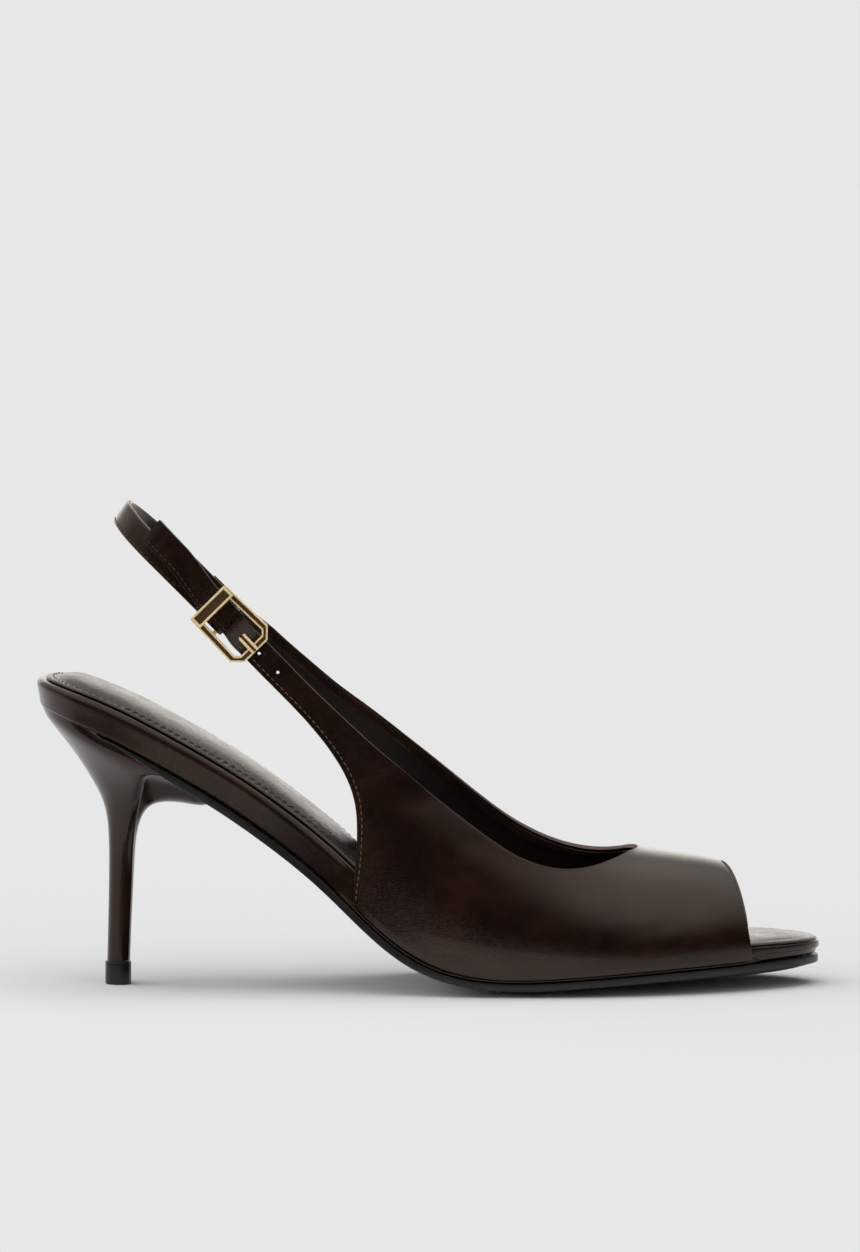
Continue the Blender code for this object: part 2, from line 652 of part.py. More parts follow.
def loop_frame(along):
    """Middle of the sling, its tangent, outward normal and width direction.

    along is measured from the back centre, positive on the lateral side.
    """
    side = -1.0 if along < 0 else 1.0
    length = abs(along)
    down = np.array((math.cos(LOOP_SLOPE), 0.0, -math.sin(LOOP_SLOPE)))
    up = np.array((math.sin(LOOP_SLOPE), 0.0, math.cos(LOOP_SLOPE)))
    outward = np.array((0.0, -side, 0.0))
    quarter = LOOP_RADIUS * math.pi / 2
    angle = min(length / LOOP_RADIUS, math.pi / 2)
    normal = -math.cos(angle) * down + math.sin(angle) * outward
    tangent = side * (math.sin(angle) * down + math.cos(angle) * outward)
    point = np.array(LOOP_CENTRE) + LOOP_RADIUS * normal + max(length - quarter, 0.0) * down
    flare = LOOP_FLARE * math.cos(angle)
    width = math.cos(flare) * up + math.sin(flare) * normal
    normal = math.cos(flare) * normal - math.sin(flare) * up
    return point, tangent, normal, width


def vamp_foot(x, side):
    """Height of the vamp's lower edge at a station."""
    lift = medial_lift(x) if side > 0 else 0.0
    return groove_z(x) + lift + LASTING_DEPTH / sole_normal(x)[1]


def arch_point(x, turn, side):
    """A point of the last: turn is 0 at the board and 1 at the crest."""
    low = vamp_foot(x, side)
    square = last_square(x)
    angle = np.clip(turn, 0, 1) * math.pi / 2
    z = low + (crest_z(x) - low) * math.sin(angle) ** (2 / square)
    nx, nz = sole_normal(x)
    depth = min(LASTING_DEPTH + (z - low) * nz, board_thick(x))
    foot = x - depth * nx
    edge = outline_edge(foot, side) + side * OVERLAY
    y = crest_y(x) + (edge - crest_y(x)) * math.cos(angle) ** (2 / square)
    rise = (z - low) / FLANK_HEIGHT
    swell = FLANK * rise * math.exp(1 - rise) * math.cos(angle)
    return (x, y + side * swell, z)


def turn_at(x, z, side):
    """The turn at which the arch at a station reaches a height."""
    low = vamp_foot(x, side)
    share = np.clip((z - low) / (crest_z(x) - low), 0, 1)
    return math.asin(share ** (last_square(x) / 2)) * 2 / math.pi


def wing_row(row, side, cols, mix, out):
    """Points of a wing from its lower end to the topline; mix draws them to the ankle strap."""
    low_x, low_z, top_x, top_z = row
    low_turn = 0.0 if low_z is None else turn_at(low_x, low_z, side)
    top_turn = turn_at(top_x, top_z, side)
    points = []
    for f in np.linspace(0, 1, cols + 1):
        x, y, z = arch_point(low_x + (top_x - low_x) * f, low_turn + (top_turn - low_turn) * f,
                             side)
        points.append((x, y * (1 - mix) + side * (LOOP_RADIUS + out) * mix, z))
    return points


def strap_bow(along):
    """How far the strap lies above the buckle's middle."""
    return (STRAP_BOW * (1 - smoothstep(along, *STRAP_BOW_SPAN))
            + TAIL_LIFT * (1 - smoothstep(along, *TAIL_LIFT_SPAN)))


def strap_row(along, out, side, cols):
    """Points across the strap, from its lower to its upper edge."""
    point, _, normal, width = loop_frame(side * (BAR_ALONG + along))
    if side > 0:
        rise = BUCKLE_RISE + strap_bow(along)
    else:
        rise = BUCKLE_RISE * smoothstep(along, *LAP_RISE_SPAN)
    middle = point + width * rise + normal * (out + WALL / 2)
    return [tuple(middle + width * STRAP_HALF * t) for t in np.linspace(-1, 1, cols + 1)]


def upper_surface(cols):
    """Outer surface of the upper: points and quads."""
    verts = []
    faces = []

    def add(points):
        verts.extend(points)
        return list(range(len(verts) - len(points), len(verts)))

    def bridge(first, second):
        for k in range(len(first) - 1):
            faces.append((first[k], first[k + 1], second[k + 1], second[k]))

    previous = None
    for foot_x, top_x in VAMP:
        rows = []
        for side in (-1, 1):
            points = []
            for f in np.linspace(0, 1, cols + 1):
                x = foot_x + (top_x - foot_x) * f ** VAMP_BIAS
                points.append(arch_point(x, f, side))
            rows.append(points)
        ids = add(rows[0] + rows[1][-2::-1])
        if previous:
            bridge(previous, ids)
        previous = ids
    for side, table, strap in ((-1, LATERAL_WING, STRAP), (1, MEDIAL_WING, MEDIAL_LAP)):
        last = previous[:cols + 1] if side < 0 else previous[cols:][::-1]
        for k, row in enumerate(table):
            mix = smoothstep(k, WING_TURN, len(table) - 1)
            ids = add(wing_row(row, side, cols, mix, strap[0][1] + WALL / 2))
            bridge(last, ids)
            last = ids
        for along, out in strap:
            ids = add(strap_row(along, out, 1 if side < 0 else -1, cols))
            bridge(last, ids)
            last = ids
    return verts, faces


def open_surface(name, verts, faces, material, collection):
    """An open mesh whose faces all look away from the foot; its first face is on the vamp."""
    mesh = bpy.data.meshes.new(name)
    mesh.from_pydata([tuple(float(c) * MM for c in v) for v in verts], [], faces)
    bm = bmesh.new()
    bm.from_mesh(mesh)
    bmesh.ops.recalc_face_normals(bm, faces=bm.faces)
    bm.faces.ensure_lookup_table()
    first = bm.faces[0]
    if first.normal.y * first.calc_center_median().y < 0:
        bmesh.ops.reverse_faces(bm, faces=bm.faces)
    bm.to_mesh(mesh)
    bm.free()
    obj = bpy.data.objects.new(name, mesh)
    collection.objects.link(obj)
    mesh.materials.append(material)
    mesh.shade_smooth()
    return obj


def local_cutter(name, size, along, across, out, collection, round_ends=False):
    """A cutter in the buckle's frame: a box, or a round one with its axis outward."""
    if round_ends:
        bpy.ops.mesh.primitive_cylinder_add(vertices=14, radius=0.5, depth=1)
    else:
        bpy.ops.mesh.primitive_cube_add(size=1)
    cutter = bpy.context.object
    cutter.name = name
    cutter.data.transform(Matrix.Diagonal((size[0] * MM, size[1] * MM, size[2] * MM, 1)))
    cutter.matrix_world = buckle_matrix() @ Matrix.Translation(
        Vector((along, across, out)) * MM)
    cutter.hide_render = True
    cutter.display_type = "WIRE"
    for owner in list(cutter.users_collection):
        owner.objects.unlink(cutter)
    collection.objects.link(cutter)
    return cutter


def buckle_matrix():
    """The buckle's frame: x along the strap to the toe, y up across it, z outward."""
    point, tangent, normal, width = loop_frame(BAR_ALONG)
    origin = Vector((point + width * BUCKLE_RISE) * MM)
    matrix = Matrix((tangent, width, normal)).transposed().to_4x4()
    matrix.translation = origin
    return matrix


def cut(obj, cutter, operation="DIFFERENCE"):
    modifier = obj.modifiers.new(cutter.name, "BOOLEAN")
    modifier.operation = operation
    modifier.solver = "EXACT"
    modifier.object = cutter


def strap_out(along):
    rows = sorted(STRAP)
    return float(curve([r[0] for r in rows], [r[1] for r in rows])(along))


def build_upper(material, collection, cutters):
    verts, faces = upper_surface(UPPER_COLS)
    obj = open_surface("upper", verts, faces, material, collection)
    wall = obj.modifiers.new("wall", "SOLIDIFY")
    wall.thickness = WALL * MM
    wall.offset = -1.0
    for k, along in enumerate(STRAP_HOLES):
        hole = local_cutter("hole_%d" % k, (HOLE_RADIUS * 2, HOLE_RADIUS * 2, PUNCH_DEPTH), along,
                            float(strap_bow(along)), strap_out(along), cutters, round_ends=True)
        cut(obj, hole)
    along, length, width = PRONG_HOLE
    hole = local_cutter("prong_hole", (length, width, PUNCH_DEPTH), along, 0, strap_out(along),
                        cutters, round_ends=True)
    cut(obj, hole)
    return obj


def sling_path():
    """Stations of the sling: its middle, width direction and thickness."""
    rows = []
    steps = np.concatenate([np.linspace(-BAR_ALONG - SLING_LAP, -SLING_ARC, 4)[:-1],
                            np.linspace(-SLING_ARC, SLING_ARC, 21),
                            np.linspace(SLING_ARC, BAR_ALONG - SLING_BEND, 4)[1:]])
    for along in steps:
        point, tangent, normal, width = loop_frame(along)
        near = smoothstep(along, *SLING_THIN_SPAN)
        rise = SLING_RISE * smoothstep(along, *SLING_RISE_SPAN)
        thick = SLING_THICK + (FOLD_THICK - SLING_THICK) * near
        rows.append((point + width * rise, width, thick))
    point, tangent, normal, width = loop_frame(BAR_ALONG)
    centre = point + width * SLING_RISE + normal * BAR_OUT
    radius = BAR_OUT
    for angle in np.radians((-90, -60, -30, 0, 30, 60, 90)):
        outward = math.cos(angle) * tangent + math.sin(angle) * normal
        rows.append((centre + outward * radius, width, FOLD_THICK))
    for along, out in FOLD:
        place = point + width * SLING_RISE + tangent * along + normal * out
        rows.append((place, width, FOLD_THICK))
    return rows


def build_sling(material, collection, cutters):
    rows = sling_path()
    middles = np.array([row[0] for row in rows])
    ahead = np.gradient(middles, axis=0)
    verts = []
    for (middle, width, thick), run in zip(rows, ahead):
        side = np.cross(width, run / np.linalg.norm(run))
        side /= np.linalg.norm(side)
        for w, t in ((-1, -1), (1, -1), (1, 1), (-1, 1)):
            verts.append(middle + width * SLING_HALF * w + side * thick / 2 * t)
    faces = [(0, 1, 2, 3)]
    for r in range(len(rows) - 1):
        for k in range(4):
            n = (k + 1) % 4
            faces.append((4 * r + k, 4 * r + n, 4 * r + 4 + n, 4 * r + 4 + k))
    last = 4 * (len(rows) - 1)
    faces.append((last, last + 1, last + 2, last + 3))
    obj = mesh_object("sling_strap", verts, faces, material, collection)
    middle, half, wide = SLOT
    slot = local_cutter("prong_slot", (half * 2, wide * 2, SLOT_DEPTH), middle, 0, BAR_OUT, cutters)
    cut(obj, slot)
    return obj


def buckle_bar(name, low, high, collection):
    """A box in the buckle's frame from its low to its high corner."""
    size = [h - l for l, h in zip(low, high)]
    centre = [(h + l) / 2 for l, h in zip(low, high)]
    bpy.ops.mesh.primitive_cube_add(size=1)
    bar = bpy.context.object
    bar.name = name
    bar.data.transform(Matrix.Diagonal((size[0] * MM, size[1] * MM, size[2] * MM, 1)))
    bar.data.transform(Matrix.Translation(Vector(centre) * MM))
    bar.matrix_world = buckle_matrix()
    for owner in list(bar.users_collection):
        owner.objects.unlink(bar)
    collection.objects.link(bar)
    return bar


def frame_outline():
    """The frame's C shape in the buckle's plane, from its upper end round the front and back."""
    wide = FRAME_HALF_FRONT
    inner = FRAME_HALF - FRAME_BAR
    inner_front = wide - FRAME_BAR
    inside = FRAME_FRONT - FRAME_BAR
    outer_half = [(FRAME_BACK, FRAME_HALF), (FRAME_FRONT - FRAME_CHAMFER, wide),
                  (FRAME_FRONT, wide - FRAME_CHAMFER)]
    inner_half = [(inside, inner_front - FRAME_NOTCH), (inside - FRAME_NOTCH, inner_front),
                  (FRAME_BACK, inner)]
    mirrored = [[(x, -y) for x, y in reversed(points)] for points in (outer_half, inner_half)]
    return outer_half + mirrored[0] + mirrored[1] + inner_half


def build_buckle(material, collection, cutters):
    half = FRAME_HALF
    inner = half - FRAME_BAR
    points = frame_outline()
    verts = [(x, y, z) for z in (FRAME_LOW, FRAME_HIGH) for x, y in points]
    count = len(points)
    faces = [(k, (k + 1) % count, count + (k + 1) % count, count + k) for k in range(count)]
    faces.append(tuple(range(count)))
    faces.append(tuple(range(count, 2 * count)))
    obj = mesh_object("buckle_frame", verts, faces, material, collection)
    obj.matrix_world = buckle_matrix()
    edges = obj.modifiers.new("soft edges", "BEVEL")
    edges.width = FRAME_BEVEL * MM
    edges.segments = 1
    edges.limit_method = "ANGLE"
    plate = buckle_bar("keeper_plate", (PLATE_BACK, -PLATE_HALF, PLATE_LOW),
                       (PLATE_FRONT, PLATE_HALF, PLATE_HIGH), cutters)
    soft = plate.modifiers.new("soft edges", "BEVEL")
    soft.width = PLATE_BEVEL * MM
    soft.segments = 1
    parts = [plate]
    for side in (-1, 1):
        low_y, high_y = sorted((side * (inner + CHEEK_SIDES[0]), side * (PLATE_HALF - CHEEK_SIDES[1])))
        parts.append(buckle_bar("cheek_%d" % (side + 1),
                                (PLATE_BACK + CHEEK_INSET[0], low_y, FRAME_LOW + MEET),
                                (PLATE_FRONT - CHEEK_INSET[1], high_y, PLATE_LOW + MEET),
                                cutters))
    bpy.ops.mesh.primitive_cylinder_add(vertices=12, radius=BAR_RADIUS * MM,
                                        depth=2 * (half - AXLE_INSET) * MM)
    axle = bpy.context.object
    axle.name = "centre_bar"
    axle.data.transform(Matrix.Rotation(math.pi / 2, 4, "X"))
    axle.data.transform(Matrix.Translation(Vector((0, 0, BAR_OUT)) * MM))
    axle.matrix_world = buckle_matrix()
    for owner in list(axle.users_collection):
        owner.objects.unlink(axle)
    cutters.objects.link(axle)
    parts.append(axle)
    for side in (-1, 1):
        low_y, high_y = sorted((side * (inner + LUG_SIDES[0]), side * (half - LUG_SIDES[1])))
        parts.append(buckle_bar("lug_%d" % (side + 1), (-LUG_HALF, low_y, BAR_OUT - LUG_DROP),
                                (LUG_HALF, high_y, FRAME_LOW + MEET), cutters))
    for piece in parts:
        piece.hide_render = True
        piece.display_type = "WIRE"
        cut(obj, piece, "UNION")
    return obj


def build_prong(material, collection):
    """A flat prong with an open ring round the centre bar."""
    rows = []
    mid = PRONG_RING
    for angle in np.radians(np.linspace(*PRONG_ARC)):
        rows.append((mid * math.cos(angle), BAR_OUT + mid * math.sin(angle)))
    rows += list(PRONG)
    middles = np.array(rows)
    ahead = np.gradient(middles, axis=0)
    ahead /= np.linalg.norm(ahead, axis=1)[:, None]
    normals = np.stack([-ahead[:, 1], ahead[:, 0]], axis=-1)
    verts = []
    for (a, o), (na, no) in zip(middles, normals):
        for w, t in ((-1, -1), (1, -1), (1, 1), (-1, 1)):
            verts.append((a + na * t * PRONG_THICK / 2, w * PRONG_HALF,
                          o + no * t * PRONG_THICK / 2))
    faces = [(0, 1, 2, 3)]
    for r in range(len(rows) - 1):
        for k in range(4):
            n = (k + 1) % 4
            faces.append((4 * r + k, 4 * r + n, 4 * r + 4 + n, 4 * r + 4 + k))
    last = 4 * (len(rows) - 1)
    faces.append((last, last + 1, last + 2, last + 3))
    obj = mesh_object("buckle_prong", verts, faces, material, collection)
    obj.matrix_world = buckle_matrix()
    return obj


def principled(name, color, roughness, metallic=0.0, coat=0.0):
    material = bpy.data.materials.new(name)
    material.use_nodes = True
    shader = material.node_tree.nodes["Principled BSDF"]
    shader.inputs["Base Color"].default_value = (*color, 1)
    shader.inputs["Roughness"].default_value = roughness
    shader.inputs["Metallic"].default_value = metallic
    shader.inputs["Coat Weight"].default_value = coat
    return material


def main():
    for obj in list(bpy.data.objects):
        bpy.data.objects.remove(obj)
    parts = bpy.data.collections.new("slingback_sandal")
    cutters = bpy.data.collections.new("cutters")
    for collection in (parts, cutters):
        bpy.context.scene.collection.children.link(collection)
    leather = (0.030, 0.018, 0.014)
    build_outsole(principled("sole_leather", (0.012, 0.011, 0.009), 0.5), parts)
    build_footbed(principled("board_leather", leather, 0.3, coat=0.3), parts)
    build_sock(principled("sock_leather", (0.025, 0.016, 0.013), 0.4), parts)
    build_heel(principled("heel_leather", leather, 0.3, coat=0.3), parts)
    build_top_lift(principled("top_lift_rubber", (0.01, 0.01, 0.01), 0.6), parts)
    build_upper(principled("upper_leather", leather, 0.25, coat=0.4), parts, cutters)
    build_sling(principled("sling_leather", leather, 0.25, coat=0.4), parts, cutters)
    gold = (0.80, 0.58, 0.28)
    build_buckle(principled("frame_metal", gold, 0.2, metallic=1.0), parts, cutters)
    build_prong(principled("prong_metal", gold, 0.2, metallic=1.0), parts)


main()
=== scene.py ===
# Looks of the slingback sandal, right shoe: finishes, lining, stitches, and the buckle's fine detail.
# Metres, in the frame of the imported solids. The tables are in millimetres.
import math

import bmesh
import bpy
import numpy as np
from mathutils import Matrix, Vector
from mathutils.bvhtree import BVHTree


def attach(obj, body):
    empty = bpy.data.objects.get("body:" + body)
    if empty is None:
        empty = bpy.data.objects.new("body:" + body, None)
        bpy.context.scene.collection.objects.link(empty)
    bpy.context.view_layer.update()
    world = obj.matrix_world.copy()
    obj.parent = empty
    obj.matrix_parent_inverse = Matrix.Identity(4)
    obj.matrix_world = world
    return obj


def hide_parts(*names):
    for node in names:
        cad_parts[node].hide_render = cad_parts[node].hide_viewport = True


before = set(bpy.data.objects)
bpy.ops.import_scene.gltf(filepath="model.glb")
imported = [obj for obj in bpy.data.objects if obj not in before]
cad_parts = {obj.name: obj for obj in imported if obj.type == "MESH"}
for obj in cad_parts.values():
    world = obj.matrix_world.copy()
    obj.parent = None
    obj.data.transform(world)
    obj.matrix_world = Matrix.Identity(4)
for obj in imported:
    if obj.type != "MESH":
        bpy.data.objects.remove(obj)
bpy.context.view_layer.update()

# Camera, in metres
VIEW_ELEVATION = math.radians(5.5)
VIEW_DISTANCE = 6.0
VIEW_HEIGHT = 0.36308  # what the picture's height spans at the shoe
VIEW_AIM = (0.0004, 0.0, 0.1043)
SENSOR = 36.0

# Driving dimensions, in millimetres
MM = 0.001
GAP = 0.3  # clearance between pieces that meet
WALL = 1.4  # leather with its lining
OVERLAY = 0.7  # how far the vamp stands proud of the board's side
HEEL_END = -113.8  # back of the board
TOE_END = 113.7  # tip of the board
HEEL_ARC_X = -98.0  # where the round back of the seat begins
TOE_ARC_X = 80.0  # where the round toe begins
TOE_ROUNDNESS = 4.0  # power of the toe's taper, 2 is an ellipse
ARC_SPAN = math.radians(60)  # half of each end that is meshed as an end row
LEAN_START = -92.0  # behind this the board's side turns upright
OUTSOLE_START = -96.0  # where the outsole feathers in under the seat
OUTSOLE_FULL = -70.0  # where it has its full thickness
OUTSOLE_THICK = 2.2
OUTSOLE_FEATHER = 0.4
SOCK_INSET = 2.6
SOCK_THICK = 1.3
SOCK_DOME = 1.7
SOCK_RAISE = 0.3  # its middle is this much higher than its edge elsewhere
TOE_EASE = 0.35  # extra room between board and vamp round the toe's tight curve
LASTING_DEPTH = 1.2  # height of the vamp's lower edge above the groove
UNDERCUT = 0.6  # how far the board's side leans in at its foot
FLANK = 0.75  # how far the vamp's side swells out above its foot
FLANK_HEIGHT = 8.5  # where it swells most
VAMP_BIAS = 1.45  # keeps the rows of the vamp forward at its sides
WING_TURN = 10  # the row of each wing from which it is drawn to the ankle strap
TOP_LIFT_HEIGHT = 6.7
TOP_LIFT_PROUD = 0.5
HOLE_RADIUS = 0.8

# Ankle loop: a stadium in a plane that slopes down to the front
LOOP_CENTRE = (-68.45, 0.0, 116.85)
LOOP_RADIUS = 29.0
LOOP_SLOPE = math.radians(45.5)
LOOP_FLARE = math.radians(12.5)
STRAP_HALF = 3.9  # half width of the perforated strap
SLING_HALF = 3.65
SLING_THICK = 1.8
FOLD_THICK = 1.0
BAR_ALONG = 58.4  # loop length from the back centre to the buckle's centre bar
BUCKLE_RISE = 1.6  # the strap and buckle sit a little above the sling
SLING_RISE = 0.9  # the sling's folded end is between the two
SLING_RISE_SPAN = (14.0, 46.0)  # where along the sling it rises
LAP_RISE_SPAN = (2.0, 18.0)  # where the inner lap rises from the sling to the wing
STRAP_BOW = 0.9  # inside the frame and the keeper the strap lies this much higher
STRAP_BOW_SPAN = (2.6, 5.6)  # and comes back to the buckle's middle here
TAIL_LIFT = 1.9  # the tail lies higher still behind the keeper
TAIL_LIFT_SPAN = (-22.0, -8.0)
SLING_LAP = 4.0  # the sling's inner end, forward of the centre bar's place
SLING_ARC = 45.0  # its round part ends this far from the back centre
SLING_BEND = 3.0  # its fold begins this far behind the centre bar
SLING_THIN_SPAN = (42.4, 48.9)  # where its layers thin out towards the fold
BAR_OUT = 1.4  # centre bar's middle, outward from the sling's middle
BAR_RADIUS = 0.6

# Sole: a row for each station along the foot. groove is the height of the line between board
# and outsole at the lateral edge, lift is how much higher the medial edge is.
SOLE_COLUMNS = ("x", "groove", "lateral", "medial", "board", "lift")
SOLE = (
    (-113.8, 81.3, 24.5, 23.5, 8.4, 0.6), (-106.0, 79.2, 24.5, 23.5, 8.6, 0.6),
    (-98.0, 75.9, 24.5, 23.5, 8.8, 0.6), (-90.0, 72.3, 26.8, 25.8, 8.9, 0.7),
    (-80.0, 66.9, 27.4, 26.2, 8.9, 0.9), (-70.0, 61.2, 26.9, 24.4, 8.9, 1.2),
    (-60.0, 55.1, 26.0, 21.8, 8.9, 1.6), (-50.0, 48.1, 25.5, 19.6, 8.9, 2.2),
    (-40.0, 40.7, 26.4, 19.2, 8.8, 2.8), (-30.0, 32.5, 28.8, 20.8, 8.6, 2.8),
    (-20.0, 22.9, 31.6, 24.0, 8.2, 2.2), (-10.0, 14.0, 34.4, 27.6, 7.8, 1.4),
    (0.0, 8.2, 36.8, 31.2, 7.2, 0.8), (12.0, 4.9, 38.6, 35.2, 6.6, 0.3),
    (26.0, 4.1, 39.5, 38.0, 6.0, 0.0), (40.0, 4.7, 39.2, 38.6, 5.6, 0.0),
    (55.0, 5.7, 37.2, 37.2, 5.4, 0.0), (70.0, 6.7, 33.0, 34.0, 5.3, 0.0),
    (83.0, 7.4, 27.8, 31.2, 5.1, 0.0), (96.0, 8.0, 19.9, 26.3, 4.8, 0.0),
    (106.0, 8.4, 15.0, 22.4, 4.3, 0.0), (114.0, 8.6, 12.0, 19.4, 4.0, 0.0),
)

# Last: the arch that the upper follows. crest is the height of its top, above the open throat
# the height that it would have, and square is 2 for an ellipse and more for flatter sides.
LAST_COLUMNS = ("x", "crest", "crest_y", "square")
LAST = (
    (-60.0, 165.0, 0.0, 3.4), (-40.0, 142.0, 0.0, 3.2), (-20.0, 114.0, 0.0, 2.9),
    (-5.0, 92.0, 0.3, 2.6), (10.0, 76.0, 0.8, 2.5), (25.0, 63.0, 1.2, 2.4),
    (40.0, 51.0, 1.6, 2.3), (50.0, 44.6, 1.8, 2.25), (59.0, 40.6, 2.0, 2.2),
    (72.0, 38.2, 2.5, 2.15), (84.0, 36.0, 3.0, 2.1), (96.0, 31.0, 3.2, 2.05),
)

# Crown of the outsole's underside, from its edge to its middle
CROWN_COLUMNS = ("x", "crown")
CROWN = (
    (-96.0, 0.0), (-62.0, 0.0), (-20.0, 1.0), (0.0, 1.6), (14.0, 2.3),
    (50.0, 2.7), (70.0, 2.8), (88.0, 2.9), (102.0, 2.0), (114.0, 0.5),
)

# Vamp in front of the throat
VAMP = (
    # foot_x, crest_x: x of the lower edge and of the crest
    (93.8, 84.4), (91.5, 83.3), (88.0, 81.3), (83.0, 78.0),
    (77.0, 74.0), (71.0, 69.5), (65.0, 65.3), (59.5, 61.0),
)

# Wings behind the throat, from the throat back: the lower end of each row and its point on the
# topline. low_z None means the lower end is on the board's side.
LATERAL_WING = (
    # low_x, low_z, top_x, top_z
    (54.0, None, 60.2, 39.95), (48.0, None, 58.6, 40.0), (41.5, None, 56.2, 39.4),
    (34.5, None, 53.3, 38.6), (27.0, None, 49.8, 37.7), (19.0, None, 45.0, 36.8),
    (10.0, None, 39.0, 36.7), (0.0, None, 33.0, 37.9), (-10.0, None, 26.5, 40.3),
    (-17.0, None, 20.5, 43.9), (-22.2, None, 13.5, 49.0), (-21.3, 36.4, 6.2, 54.5),
    (-20.7, 45.0, 0.4, 59.1), (-20.7, 50.8, -4.8, 63.3), (-21.3, 56.6, -9.7, 67.4),
    (-23.3, 62.5, -15.2, 71.7), (-26.5, 68.3, -19.6, 75.8), (-30.6, 74.1, -24.4, 80.3),
    (-35.5, 79.9, -29.7, 85.3), (-39.9, 84.6, -34.5, 90.0),
)
MEDIAL_WING = (
    # low_x, low_z, top_x, top_z
    (54.0, None, 60.2, 39.95), (48.0, None, 58.7, 39.5), (41.5, None, 56.6, 38.5),
    (34.5, None, 53.6, 37.7), (27.0, None, 50.0, 37.2), (20.0, None, 45.5, 37.3),
    (12.0, None, 40.0, 38.2), (2.0, None, 34.5, 40.0), (-7.0, None, 29.0, 42.6),
    (-15.0, None, 23.6, 45.7), (-21.0, None, 17.0, 50.7), (-20.4, 37.0, 10.6, 56.0),
    (-20.0, 45.5, 4.5, 61.1), (-20.2, 51.5, -1.0, 65.6), (-21.0, 57.5, -6.5, 69.8),
    (-23.0, 63.5, -11.5, 73.7), (-26.0, 69.5, -17.0, 77.8), (-30.0, 75.5, -22.5, 81.6),
    (-35.0, 81.0, -28.4, 86.0), (-39.9, 85.6, -34.0, 90.9),
)

# Perforated strap and tail: along is from the centre bar, positive to the toe, out is from the
# sling's middle to the middle of the strap.
STRAP = (
    # along, out
    (20.7, 0.9), (17.0, 0.8), (14.0, 0.7), (11.0, 0.7), (8.6, 1.5),
    (6.4, 2.6), (4.2, 3.5), (2.0, 4.1), (0.0, 4.3), (-2.0, 3.95),
    (-4.0, 3.3), (-6.0, 2.95), (-8.0, 2.85), (-11.0, 2.7), (-14.5, 2.2),
    (-18.0, 1.95), (-22.0, 1.95), (-26.0, 1.95), (-30.0, 1.95), (-33.4, 1.95),
)
STRAP_HOLES = (1.3, 13.4, 21.1)

# Medial end of the upper, where it laps over the sling
MEDIAL_LAP = ((20.0, 1.2), (15.0, 1.6), (10.0, 1.95), (4.0, 1.95), (-2.0, 1.95), (-8.0, 1.95))

# Folded end of the sling, on the outer side of the centre bar, back from it
FOLD = ((-2.0, 2.45), (-4.0, 1.8), (-6.0, 1.4), (-9.2, 1.35))

# Heel: rings from the seat down. back and front are the ends of each ring's chord in side view,
# bulge lifts its middle, corner and valley are where the side wall ends and where the recess
# beside the tongue is deepest.
HEEL_COLUMNS = ("back_x", "back_z", "front_x", "front_z", "half", "corner_x", "corner_y",
                "valley_x", "valley_y", "tongue", "bulge")
HEEL_BACK_ANGLES = (0, 14, 28, 42, 57, 73, 90)
HEEL_FULLNESS = 0.87  # power of the round back, 1 is an ellipse
HEEL_WIDEST = 0.7  # where the ring is widest, as a share from its back to its corner
TONGUE_SHARES = ((0.42, 1.0), (0.80, 0.72), (0.97, 0.32))  # of its reach and half width
SEAT_MARGIN = 0.4  # the heel's seat stays this far inside the sole's edge
HEEL = (
    (-113.0, 80.4, -62.8, 52.0, 27.0, -75.5, 25.0, -72.0, 16.0, 10.0, 2.9),
    (-112.0, 79.2, -63.6, 51.7, 26.6, -78.5, 24.4, -79.5, 16.0, 9.6, 2.8),
    (-109.8, 76.6, -67.5, 52.0, 24.6, -80.9, 21.8, -82.4, 14.5, 9.0, 2.5),
    (-107.0, 73.4, -72.0, 52.9, 21.6, -81.6, 18.6, -83.6, 12.6, 8.2, 2.0),
    (-104.0, 69.5, -76.3, 53.2, 17.8, -82.2, 15.0, -84.0, 10.4, 7.2, 1.4),
    (-100.6, 64.6, -79.8, 52.6, 13.8, -82.9, 11.2, -84.4, 8.0, 6.0, 0.8),
    (-97.8, 60.0, -82.0, 51.0, 10.8, -83.6, 8.2, -84.7, 6.0, 4.8, 0.4),
    (-95.4, 55.8, -83.4, 48.6, 8.4, -84.3, 6.2, -84.8, 4.6, 3.6, 0.2),
    (-93.6, 50.8, -84.4, 45.4, 6.4, -85.0, 4.8, -85.0, 3.6, 2.8, 0.1),
    (-92.8, 44.0, -85.1, 41.4, 5.0, -85.7, 3.9, -85.5, 2.9, 2.1, 0.0),
    (-92.8, 32.0, -85.6, 32.0, 4.1, -86.4, 3.2, -86.0, 2.4, 1.7, 0.0),
    (-93.1, 18.0, -86.3, 18.0, 4.0, -87.1, 3.0, -86.7, 2.2, 1.6, 0.0),
    (-93.4, 7.0, -86.7, 7.0, 4.0, -87.5, 3.0, -87.1, 2.2, 1.6, 0.0),
)

# Buckle, in its own plane: along as above, across the strap, and out
FRAME_HALF = 7.1
FRAME_HALF_FRONT = 7.6
FRAME_BAR = 2.1
FRAME_BACK = -7.6
FRAME_FRONT = 12.2
FRAME_CHAMFER = 3.0
FRAME_NOTCH = 1.2  # chamfer of its inner corners
CHEEK_INSET = (0.4, 0.3)  # of the keeper's cheeks from its back and front edges
CHEEK_SIDES = (0.15, 0.3)  # from the frame's opening, and from the plate's ends
LUG_HALF = 1.1  # half length of the lugs that carry the centre bar
LUG_SIDES = (0.2, 0.4)  # from the frame's opening, and from its outside
LUG_DROP = 1.5 * BAR_RADIUS  # the lugs reach this far in past the centre bar
AXLE_INSET = 0.7  # the centre bar ends this far inside the frame's sides
MEET = 0.4  # how deep the buckle's members run into each other
FRAME_LOW = 1.7
FRAME_HIGH = 3.5
PLATE_BACK = -7.95
PLATE_FRONT = -4.05
PLATE_HALF = 6.7
PLATE_LOW = 4.3
